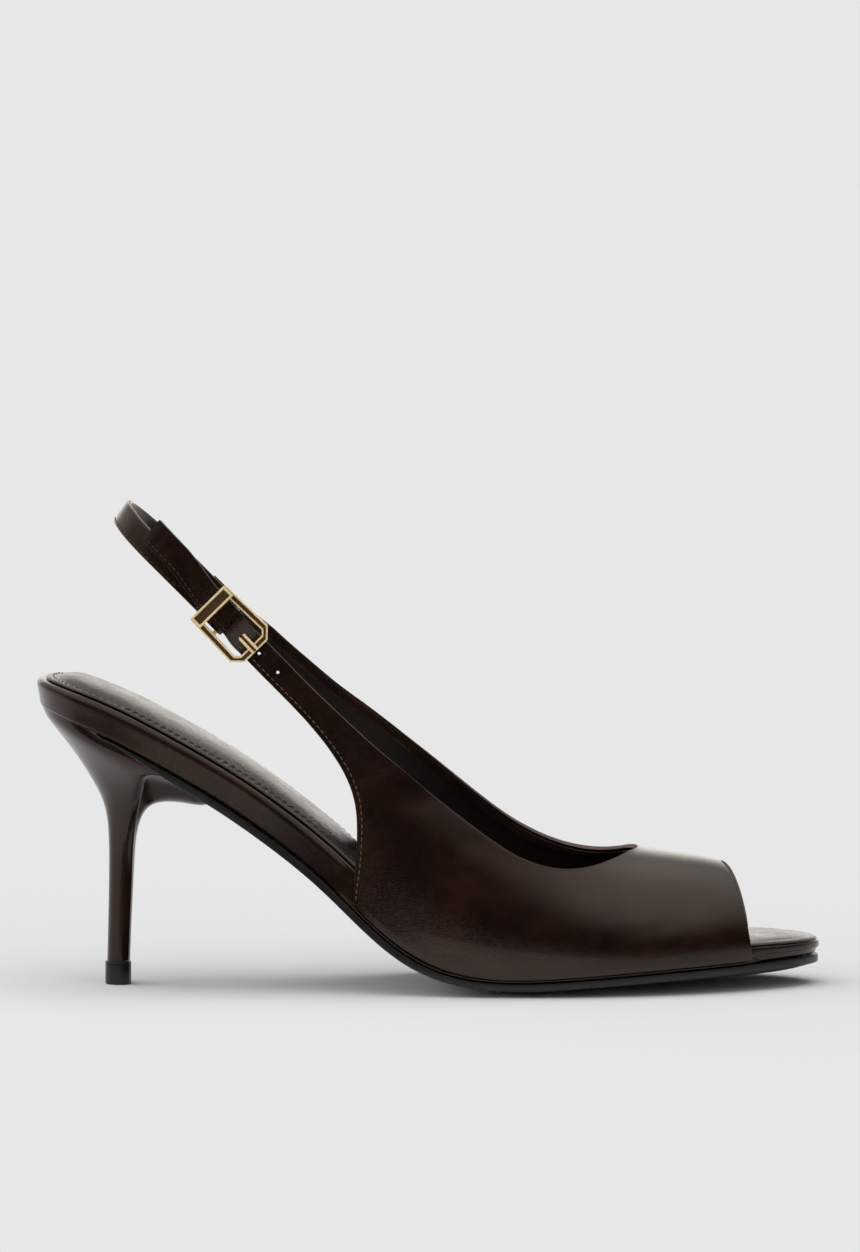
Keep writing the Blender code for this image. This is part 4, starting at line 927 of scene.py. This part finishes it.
def build_studio():
    """A pale room: a broad light overhead, a white backdrop, and a dim side behind the camera."""
    world = bpy.data.worlds.new("studio")
    bpy.context.scene.world = world
    world.use_nodes = True
    tree = world.node_tree
    direction = node(tree, "TexCoord").outputs["Generated"]
    axes = node(tree, "SeparateXYZ", {"Vector": direction}).outputs

    def brightest(*ramps):
        light = node(tree, "Value").outputs[0]
        for axis, rising in ramps:
            light = node(tree, "Math", {0: light, 1: ramp(tree, axes[axis], *rising)},
                         operation="MAXIMUM").outputs[0]
        return node(tree, "Math", {0: light, 1: ROOM_DIM}, operation="MAXIMUM").outputs[0]

    room = brightest(("Z", OVERHEAD), ("Y", FRONT_FILL), ("X", LEFT_KEY))
    mirrored = brightest(("Z", SKY), ("Y", BACKDROP), ("Y", HORIZON), ("X", LEFT_PANEL))
    mirrored = node(tree, "VectorMath", {0: mirrored, 1: WARMTH}, operation="MULTIPLY").outputs[0]
    glossy = node(tree, "LightPath").outputs["Is Glossy Ray"]
    shown = node(tree, "Mix", {0: glossy, 6: room, 7: mirrored}, data_type="RGBA").outputs[2]
    tree.links.new(shown, tree.nodes["Background"].inputs["Color"])
    world.cycles.sampling_method = "NONE"
    bpy.context.scene.view_settings.view_transform = "Standard"
    bpy.ops.mesh.primitive_plane_add(size=FLOOR_SIZE)
    floor = bpy.context.object
    floor.name = "floor"
    floor.data.materials.append(new_material("paper", Roughness=0.9, Base_Color=(PAPER, PAPER, PAPER, 1),
                                             Specular_IOR_Level=0.0)[0])
    # Dark cards, which only show in reflections: one lies in front of the paper, two stand by the heel
    dull = new_material("card_black", Base_Color=(0.01, 0.01, 0.01, 1), Specular_IOR_Level=0.0)[0]
    for number, (size, place, turn) in enumerate(CARDS):
        bpy.ops.mesh.primitive_plane_add(size=1)
        card = bpy.context.object
        card.name = "card_%d" % number
        card.scale = (*size, 1)
        card.location = place
        card.rotation_euler = [math.radians(angle) for angle in turn]
        card.visible_camera = card.visible_diffuse = False
        card.visible_shadow = card.visible_transmission = False
        card.data.materials.append(dull)


def skin_of(obj):
    """What a point is laid on: the object's evaluated surface."""
    return BVHTree.FromObject(obj, bpy.context.evaluated_depsgraph_get())


def lay(skin, point, lift):
    """The nearest point of a surface and its normal, lifted off it; all in millimetres."""
    place, normal = skin.find_nearest(Vector([float(c) for c in point]) * MM)[:2]
    return place / MM + normal * lift, normal


def along_edge(skin, path, inset, side=1.0):
    """A path on a surface at a distance from an edge, with its normals and directions."""
    path = [Vector([float(c) for c in p]) for p in path]
    rows = []
    for k, point in enumerate(path):
        ahead = (path[min(k + 1, len(path) - 1)] - path[max(k - 1, 0)]).normalized()
        normal = lay(skin, point, 0)[1]
        inward = ahead.cross(normal).normalized() * side
        rows.append(lay(skin, point + inward * inset, 0))
    return rows


def run_lengths(points):
    """How far along a path each of its points lies."""
    return np.concatenate([[0], np.cumsum(np.linalg.norm(np.diff(points, axis=0), axis=1))])


def evenly(rows, step):
    """Resamples (point, normal) rows at equal distances."""
    points = np.array([r[0] for r in rows])
    normals = np.array([r[1] for r in rows])
    lengths = run_lengths(points)
    marks = np.arange(step / 2, lengths[-1] - step / 2, step)

    def at(values):
        return np.stack([np.interp(marks, lengths, values[:, c]) for c in range(3)], axis=-1)

    return at(points), at(normals)


def stitches(name, rows_list, material, length, gap, radius):
    """Rows of stitches as one mesh: each is a short bead that dips into the leather at its ends."""
    verts = []
    faces = []
    sides = 6
    profile = ((-0.5, 0.45, -0.8), (-0.36, 0.9, 0.1), (0.0, 1.0, 0.45), (0.36, 0.9, 0.1), (0.5, 0.45, -0.8))
    bead = tube(len(profile), sides)
    for rows in rows_list:
        points, normals = evenly(rows, length + gap)
        ahead = np.gradient(points, axis=0)
        for p, n, a in zip(points, normals, ahead):
            n = n / np.linalg.norm(n)
            a = a / np.linalg.norm(a)
            side = np.cross(n, a)
            start = len(verts)
            for along, width, rise in profile:
                for k in range(sides):
                    turn = 2 * math.pi * k / sides
                    height = STITCH_LIFT + radius * (rise + width * math.sin(turn))
                    verts.append(p + a * along * length + n * height
                                 + side * radius * width * math.cos(turn))
            faces.extend(tuple(start + k for k in face) for face in bead)
    return piece(name, verts, faces, [material])


def ribbon(name, skin, path, insets, lift, thick, materials):
    """A strip of leather laid along an edge, with a raw edge on its rim."""
    lines = [along_edge(skin, path, inset) for inset in insets]
    verts = [point + normal * lift for line in lines for point, normal in line]
    count = len(path)
    faces = [(r * count + k, r * count + k + 1, (r + 1) * count + k + 1, (r + 1) * count + k)
             for r in range(len(insets) - 1) for k in range(count - 1)]
    obj = piece(name, verts, faces, materials)
    toward_skin(obj, skin, outward=lift > 0)
    wall = obj.modifiers.new("thickness", "SOLIDIFY")
    wall.thickness = thick * MM
    wall.offset = 1.0
    wall.material_offset_rim = 1
    bevel(obj, thick * 0.3)
    settle(obj, 40)
    for face in obj.data.polygons:
        if face.normal.z > 0.1:
            face.material_index = 0
    return obj


def toward_skin(obj, skin, outward):
    """Turns an open strip's faces away from the surface that it lies on, or towards it."""
    face = obj.data.polygons[len(obj.data.polygons) // 2]
    normal = skin.find_nearest(face.center)[1]
    if (face.normal.dot(normal) > 0) != outward:
        obj.data.flip_normals()


def wing_tops(table, side, start=0, step=0.5, low=False):
    """The topline of a wing, or its lower end, at fine steps between the table's rows."""
    ends = [row[0] if low else row[-1] for row in wing_rows(table, side, 1)]
    return through(ends, np.arange(start, len(table) - 1 + step / 2, step))


def strap_out(strap):
    """How far a strap lies out from the sling, as a curve along it."""
    return curve(*zip(*sorted(strap)))


def strap_edge(t, from_along, to_along, steps, side=1):
    """A line along the perforated strap, t across it from -1 to 1."""
    out = strap_out(STRAP if side > 0 else MEDIAL_LAP)
    points = []
    for along in np.linspace(from_along, to_along, steps):
        point, _, normal, width = loop_frame(side * (BAR_ALONG + along))
        rise = strap_rise(along, side)
        points.append(tuple(point + width * (rise + STRAP_HALF * t) + normal * (float(out(along)) + WALL)))
    return points


def open_skin(name, materials):
    """The upper's outer surface as a control cage whose faces look away from the foot."""
    verts, faces = upper_surface(UPPER_COLS)
    obj = piece(name, verts, faces, materials)
    first = obj.data.polygons[0]
    if first.normal.y * first.center.y < 0:
        obj.data.flip_normals()
    return obj


def crease(obj):
    """Presses the troughs into the outer (lateral) side."""
    mesh = obj.data
    points = np.empty(len(mesh.vertices) * 3)
    normals = np.empty(len(mesh.vertices) * 3)
    mesh.vertices.foreach_get("co", points)
    mesh.vertices.foreach_get("normal", normals)
    points = points.reshape(-1, 3) / MM
    normals = normals.reshape(-1, 3)
    push = np.zeros(len(points))
    for row in CREASES:
        v = dict(zip(CREASE_COLUMNS, row))
        turn = math.radians(v["angle"])
        dx = points[:, 0] - v["x"]
        dz = points[:, 2] - v["z"]
        run = (dx * math.cos(turn) + dz * math.sin(turn)) / v["length"]
        off = (dz * math.cos(turn) - dx * math.sin(turn)) / v["width"]
        push += v["height"] * np.exp(-(run ** 2 + off ** 2)) * (points[:, 1] < 0)
    points += normals * push[:, None]
    mesh.vertices.foreach_set("co", (points * MM).ravel())
    mesh.update()


def build_upper(skin_leather, lining, rim):
    obj = open_skin("upper_shell", [skin_leather, lining, rim])
    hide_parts("upper")
    subdivide(obj)
    settle(obj)
    crease(obj)
    skin = skin_of(obj)
    wall = obj.modifiers.new("wall", "SOLIDIFY")
    wall.thickness = WALL * MM
    wall.offset = -1.0
    wall.material_offset = 1
    # the rims take the edge colour, which holds a painted highlight
    wall.material_offset_rim = 2
    bevel(obj, 0.3, 2, 60)
    punch = hole_punch()
    holes = obj.modifiers.new("holes", "BOOLEAN")
    holes.operation = "DIFFERENCE"
    holes.solver = "EXACT"
    holes.object = punch
    settle(obj, 40)
    bpy.data.objects.remove(punch)
    return skin


def hole_punch():
    """One mesh of all the strap's holes, as drums square to the strap."""
    bm = bmesh.new()
    radius = HOLE_RADIUS * HOLE_SHARE
    spots = [(along, float(strap_bow(along)), radius, radius) for along in STRAP_HOLES]
    spots.append((PRONG_SLIT[0], 0.0, PRONG_SLIT[1] / 2, PRONG_SLIT[2] / 2))
    out = strap_out(STRAP)
    for along, across, long, wide in spots:
        place = Vector((along, across, float(out(along)))) * MM
        matrix = buckle_matrix() @ Matrix.Translation(place) @ Matrix.Diagonal((long, wide, 2.4, 1))
        bmesh.ops.create_cone(bm, cap_ends=True, segments=20, radius1=MM, radius2=MM, depth=2 * MM,
                              matrix=matrix)
    mesh = bpy.data.meshes.new("punch")
    bm.to_mesh(mesh)
    bm.free()
    obj = linked("punch", mesh)
    obj.hide_render = True
    return obj


def build_upper_details(skin, facing_leather, raw, pale_thread, dark_thread):
    """The turned-in edge of the topline, the seam of the inner side and the rows of stitches."""
    top = (strap_edge(1, 8, 20, 8) + wing_tops(LATERAL_WING, -1)[::-1] + wing_tops(MEDIAL_WING, 1)
           + strap_edge(1, 20, 4, 8, side=-1))
    ribbon("topline_facing", skin, top, FACING_INSETS, -WALL, FACING_THICK, [facing_leather, raw])
    rear = strap_edge(-1, 6.0, 20.0, 14) + wing_tops(LATERAL_WING, -1, 10, step=0.25, low=True)[::-1]
    inner_rear = wing_tops(MEDIAL_WING, 1, 10, step=0.25, low=True) + strap_edge(-1, 19.5, -6.0, 16, side=-1)
    rows = [along_edge(skin, edge, QUARTER_INSET, -1.0) for edge in (rear, inner_rear)]
    stitches("quarter_stitches", rows, pale_thread, length=1.3, gap=0.6, radius=0.16)
    rows = [along_edge(skin, strap_edge(-1, -32.0, 6.0, 30), TAIL_INSET, -1.0)]
    stitches("tail_stitches", rows, dark_thread, length=1.3, gap=0.6, radius=0.15)


def build_sole(board_leather, sock_leather, sole_rubber):
    base = perimeter(*outline(FOOTBED_STATIONS, SOLE_COLS, False))
    top = board_thick(base[:, 0])
    ease = TOE_EASE * smoothstep(base[:, 0], *TOE_EASE_SPAN)
    lean = 2 * UNDERCUT * (1 - covered(base[:, 0]))
    lip = np.full(len(base), LASTING_DEPTH - GAP)

    def rebate(depth):
        shift = REBATE_SHIFT * (1 - depth / top) * (base[:, 0] < 0)
        return (WALL + GAP - OVERLAY + ease) * covered(base[:, 0] - shift)

    soft = 1 - EDGE_AT_TOE * smoothstep(base[:, 0], *TOE_SOFT_SPAN)
    levels = [(lean + 0.8, GAP / 2), (lean + 0.25, GAP / 2 + 0.25), (lean * 0.85, lip),
              (rebate(lip) + lean * 0.85, lip + 0.05),
              (rebate((lip + top) / 2) - 0.08 + lean * 0.4, (lip + top) / 2), (rebate(top), top - 2.2),
              (rebate(top) + 0.14 * soft, top - 1.4 * soft), (rebate(top) + 0.5 * soft, top - 0.65 * soft),
              (rebate(top) + 1.15 * soft, top - 0.15 * soft), (rebate(top) + 2.1 * soft, top)]
    obj = sole_plate("footbed_wrap", FOOTBED_STATIONS, levels, lambda x, u: GAP / 2,
                     lambda x, u: board_thick(x), [board_leather], replaces=["footbed"])
    subdivide(obj)
    settle(obj, 60)

    base = perimeter(*outline(SOCK_STATIONS, SOLE_COLS, False))
    low = board_thick(base[:, 0]) + GAP / 3
    inset = SOCK_INSET - SOCK_TOE_REACH * smoothstep(base[:, 0], *TOE_SOFT_SPAN)
    levels = [(inset + 0.3, low), (inset, low + 0.3), (inset + 0.3, low + 0.7),
              (inset + 1.0, low + 1.0), (inset + 1.8, low + 1.12), (inset + 2.3, low + 1.05),
              (inset + 2.9, low + 1.25)]

    def dome(x, u):
        height = SOCK_DOME * smoothstep(x, *SEAT_RISE) * (1 - smoothstep(x, *SEAT_FALL)) + SOCK_RAISE
        return board_thick(x) + GAP + SOCK_THICK + height * (1 - abs(u) ** 2.5)

    sock = sole_plate("sock_pad", SOCK_STATIONS, levels, lambda x, u: board_thick(x) + GAP / 3, dome,
                      [sock_leather], replaces=["sock"])
    subdivide(sock)
    settle(sock, 60)

    base = perimeter(*outline(OUTSOLE_STATIONS, SOLE_COLS, True))
    low = -GAP / 2 - outsole_thick(base[:, 0])
    top = np.full(len(base), -GAP / 2)
    tuck = HEEL_TUCK * (1 - smoothstep(base[:, 0], *HEEL_TUCK_SPAN))
    levels = [(tuck + 1.0, low), (tuck + 0.62, low + 0.03), (tuck + 0.42, low + 0.2),
              (tuck + 0.36, (low + top) / 2), (tuck + 0.4, top - 0.15), (tuck + 0.5, top), (tuck + 1.0, top)]

    def underside(x, u):
        return -GAP / 2 - outsole_thick(x) - crown_depth(x) * (1 - u * u)

    obj = sole_plate("outsole_unit", OUTSOLE_STATIONS, levels, underside, lambda x, u: -GAP / 2,
                     [sole_rubber], feathered=True, floor=True, replaces=["outsole"])
    subdivide(obj)
    settle(obj, 60)
    return sock


def build_sock_stitches(sock, material):
    skin = skin_of(sock)
    base = perimeter(*outline(SOCK_STATIONS, SOLE_COLS, False))
    loop = inset_loop(base, SOCK_INSET + 2.2)
    loop = np.concatenate([loop, loop[:1]])
    ring = [on_sole(x, y, board_thick(x) + GAP + SOCK_THICK) for x, y in loop]
    fine = through(ring, np.arange(0, len(ring) - 0.9, 0.25))
    start = max(range(len(fine)), key=lambda k: fine[k][0])
    ring = [p for p in fine[start:] + fine[:start] if p[0] < SOCK_STITCH_END]
    rows = [[lay(skin, p, 0) for p in ring]]
    for inset in SOCK_SIDE_ROWS:
        xs = np.arange(*SOCK_SIDE_SPAN)
        side = [on_sole(x, -lateral_y(x) + inset, board_thick(x) + GAP + SOCK_THICK) for x in xs]
        rows.append([lay(skin, p, 0) for p in side])
    stitches("sock_stitches", rows, material, length=1.5, gap=0.8, radius=0.15)


def build_heel(cover):
    rings = [heel_ring(row, k == 0) for k, row in enumerate(HEEL)]
    for k, share in enumerate(SEAT_TUCK):
        rings[k] = [(x + (x - HEEL_ARC_X) * (share - 1) * (x < HEEL_ARC_X), y * share, z)
                    for x, y, z in rings[k]]
    verts = [p for ring in rings for p in ring]
    obj = piece("heel_cover", verts, tube(len(rings), len(rings[0])), [cover], replaces=["heel"])
    sharp = obj.data.attributes.new("crease_edge", "FLOAT", "EDGE").data
    for face in obj.data.polygons:
        if len(face.vertices) > 4:
            for k in face.loop_indices:
                sharp[obj.data.loops[k].edge_index].value = 1.0
    subdivide(obj)
    settle(obj, 50)


def build_top_lift(material):
    ring = [(x, y) for x, y, z in heel_ring(HEEL[-1], False)]
    middle_x = sum(x for x, y in ring) / len(ring)
    half = HEEL[-1][HEEL_COLUMNS.index("half")]
    scale = (half + TOP_LIFT_PROUD) / half
    ring = [(middle_x + (x - middle_x) * scale, y * scale) for x, y in ring]
    verts = [(x, y, z) for z in (0.0, TOP_LIFT_HEIGHT) for x, y in ring]
    obj = piece("heel_tip", verts, tube(2, len(ring)), [material], replaces=["top_lift"])
    bevel(obj, 0.35, 3, 50)
    settle(obj, 50)


def build_sling(skin_leather, raw):
    rows = sling_path()
    middles = np.array([row[0] for row in rows])
    ahead = np.gradient(middles, axis=0)
    verts = []
    for (middle, width, thick), run in zip(rows, ahead):
        side = np.cross(width, run / np.linalg.norm(run))
        side /= np.linalg.norm(side)
        for w, t in SLING_SECTION:
            verts.append(middle + width * SLING_HALF * w + side * thick / 2 * t)
    count = len(SLING_SECTION)
    faces = tube(len(rows), count)
    obj = piece("sling_band", verts, faces, [skin_leather, raw], replaces=["sling_strap"])
    for k, face in enumerate(obj.data.polygons):
        if k % count in SLING_CORE or k >= len(faces) - 2:
            face.material_index = 1
    subdivide(obj)
    return settle(obj, 50)


def build_sling_stitches(sling, material):
    skin = skin_of(sling)
    across, start, end = SLING_STITCHES
    line = []
    for along in np.arange(start, end, 1.0):
        point, _, normal, width = loop_frame(along)
        rise = SLING_RISE * smoothstep(along, *SLING_RISE_SPAN)
        line.append(lay(skin, point + width * (rise + across * SLING_HALF) + normal * SLING_THICK, 0))
    stitches("sling_stitches", [line], material, length=1.5, gap=0.75, radius=0.17)


def plate_of(points, low, high):
    """A flat plate in the buckle's frame as bmesh, with its top face last."""
    bm = bmesh.new()
    rings = [[bm.verts.new((x * MM, y * MM, z * MM)) for x, y in points] for z in (low, high)]
    count = len(points)
    for k in range(count):
        n = (k + 1) % count
        bm.faces.new((rings[0][k], rings[0][n], rings[1][n], rings[1][k]))
    bm.faces.new(rings[0][::-1])
    top = bm.faces.new(rings[1])
    bmesh.ops.recalc_face_normals(bm, faces=bm.faces)
    return bm, top


def sunk(points, low, high, border, depth):
    """A plate whose top has a sunk field inside a narrow raised border; the field has material 1."""
    bm, top = plate_of(points, low, high)
    bmesh.ops.inset_region(bm, faces=[top], thickness=border * MM, depth=0.0, use_even_offset=True)
    bmesh.ops.inset_region(bm, faces=[top], thickness=FIELD_SLOPE * MM, depth=-depth * MM,
                           use_even_offset=True)
    top.material_index = 1
    return bm


def join(name, parts, materials, replaces):
    """One object from several bmeshes in the buckle's frame."""
    mesh = bpy.data.meshes.new(name)
    whole = bmesh.new()
    for part in parts:
        part.to_mesh(mesh)
        whole.from_mesh(mesh)
        part.free()
    whole.to_mesh(mesh)
    whole.free()
    mesh.transform(buckle_matrix())
    return dressed(name, mesh, materials, [replaces])


def block(low, high):
    size = [(h - l) * MM for l, h in zip(low, high)]
    centre = Vector([(h + l) / 2 * MM for l, h in zip(low, high)])
    bm = bmesh.new()
    bmesh.ops.create_cube(bm, size=1, matrix=Matrix.Translation(centre) @ Matrix.Diagonal((*size, 1)))
    return bm


def build_buckle(bright, field):
    half = FRAME_HALF
    inner = half - FRAME_BAR
    points = frame_outline()
    parts = [sunk(points, FRAME_LOW, FRAME_HIGH, *FRAME_FIELD)]
    plate = [(PLATE_BACK, -PLATE_HALF), (PLATE_FRONT, -PLATE_HALF), (PLATE_FRONT, PLATE_HALF),
             (PLATE_BACK, PLATE_HALF)]
    parts.append(sunk(plate, PLATE_LOW, PLATE_HIGH, *PLATE_FIELD))
    for side in (-1, 1):
        low_y, high_y = sorted((side * (inner + CHEEK_SIDES[0]), side * (PLATE_HALF - CHEEK_SIDES[1])))
        parts.append(block((PLATE_BACK + CHEEK_INSET[0], low_y, FRAME_LOW + MEET),
                           (PLATE_FRONT - CHEEK_INSET[1], high_y, PLATE_LOW + MEET)))
        low_y, high_y = sorted((side * (inner + LUG_SIDES[0]), side * (half - LUG_SIDES[1])))
        parts.append(block((-LUG_HALF, low_y, BAR_OUT - LUG_DROP), (LUG_HALF, high_y, FRAME_LOW + LUG_MEET)))
    axle = bmesh.new()
    bmesh.ops.create_cone(axle, cap_ends=True, segments=20, radius1=BAR_RADIUS * MM,
                          radius2=BAR_RADIUS * MM, depth=2 * (half - AXLE_INSET) * MM,
                          matrix=Matrix.Translation((0, 0, BAR_OUT * MM))
                          @ Matrix.Rotation(math.pi / 2, 4, "X"))
    parts.append(axle)
    obj = join("buckle_metal", parts, [bright, field], "buckle_frame")
    bevel(obj, BUCKLE_EDGE, 2, 35)
    settle(obj, 35)


def build_prong(bright, field):
    rows = [(PRONG_RING * math.cos(a), BAR_OUT + PRONG_RING * math.sin(a))
            for a in np.radians(np.linspace(*PRONG_ARC))] + list(PRONG)
    lengths = run_lengths(np.array(rows))
    lines = [curve(lengths, [r[c] for r in rows]) for c in range(2)]
    middles = np.stack([line(np.linspace(0, lengths[-1], PRONG_STEPS)) for line in lines], axis=-1)
    ahead = np.gradient(middles, axis=0)
    ahead /= np.linalg.norm(ahead, axis=1)[:, None]
    normals = np.stack([-ahead[:, 1], ahead[:, 0]], axis=-1)
    count = len(PRONG_SECTION)
    bm = bmesh.new()
    rings = []
    for (a, o), (na, no) in zip(middles, normals):
        rings.append([bm.verts.new(((a + na * t * PRONG_THICK / 2) * MM, w * PRONG_HALF * MM,
                                    (o + no * t * PRONG_THICK / 2) * MM)) for w, t in PRONG_SECTION])
    for first, second in zip(rings, rings[1:]):
        for k in range(count):
            n = (k + 1) % count
            face = bm.faces.new((first[k], first[n], second[n], second[k]))
            face.material_index = int(k == PRONG_FIELD)
    bm.faces.new(rings[0])
    bm.faces.new(rings[-1])
    bmesh.ops.recalc_face_normals(bm, faces=bm.faces)
    obj = join("prong_metal", [bm], [bright, field], "buckle_prong")
    bevel(obj, PRONG_EDGE, 2, 30)
    settle(obj, 35)


def main():
    build_camera()
    build_studio()
    brown = (0.0082, 0.0038, 0.0027)
    warm = (0.0175, 0.0074, 0.0042)
    shell = leather("polished_calf", brown, warm, 0.09, wave=0.06)
    wrap = leather("board_calf", brown, warm, 0.14, wave=0.05)
    lining = leather("lining_calf", (0.005, 0.0035, 0.003), (0.008, 0.0055, 0.0045), 0.5, coat=0.0,
                     grain=0.02, wave=0.05)
    sock_skin = leather("sock_calf", (0.016, 0.010, 0.008), (0.022, 0.014, 0.011), 0.26, coat=0.15,
                        grain=0.02, wave=0.08)
    heel_skin = leather("heel_calf", brown, warm, 0.12, coat=0.1, coat_roughness=0.05, wave=0.03)
    # The rims' colour is partly the edge's own paint and partly a painted highlight: it is lightened so that
    # the rounded rims show a light line.
    rim = edge_paint("edge_paint_and_painted_highlight", (0.07, 0.042, 0.032), (0.13, 0.082, 0.062))
    raw = edge_paint("raw_edge", (0.20, 0.11, 0.075), (0.32, 0.20, 0.14))
    pale = thread("pale_thread", (0.13, 0.085, 0.06))
    dark = thread("dark_thread", (0.035, 0.022, 0.018))
    sole_rubber = rubber("sole_rubber", (0.006, 0.006, 0.005), (0.009, 0.009, 0.008), 0.36, 0.02)
    tip = rubber("tip_rubber", (0.006, 0.006, 0.006), (0.010, 0.010, 0.010), 0.35, 0.01)
    bright = gold("gold", (1.0, 0.79, 0.45), 0.16)
    field = gold("gold_field", (0.085, 0.045, 0.016), 0.22)
    sock = build_sole(wrap, sock_skin, sole_rubber)
    build_sock_stitches(sock, dark)
    build_heel(heel_skin)
    build_top_lift(tip)
    skin = build_upper(shell, lining, rim)
    build_upper_details(skin, shell, raw, pale, dark)
    sling = build_sling(shell, raw)
    build_sling_stitches(sling, dark)
    build_buckle(bright, field)
    build_prong(bright, field)


main()
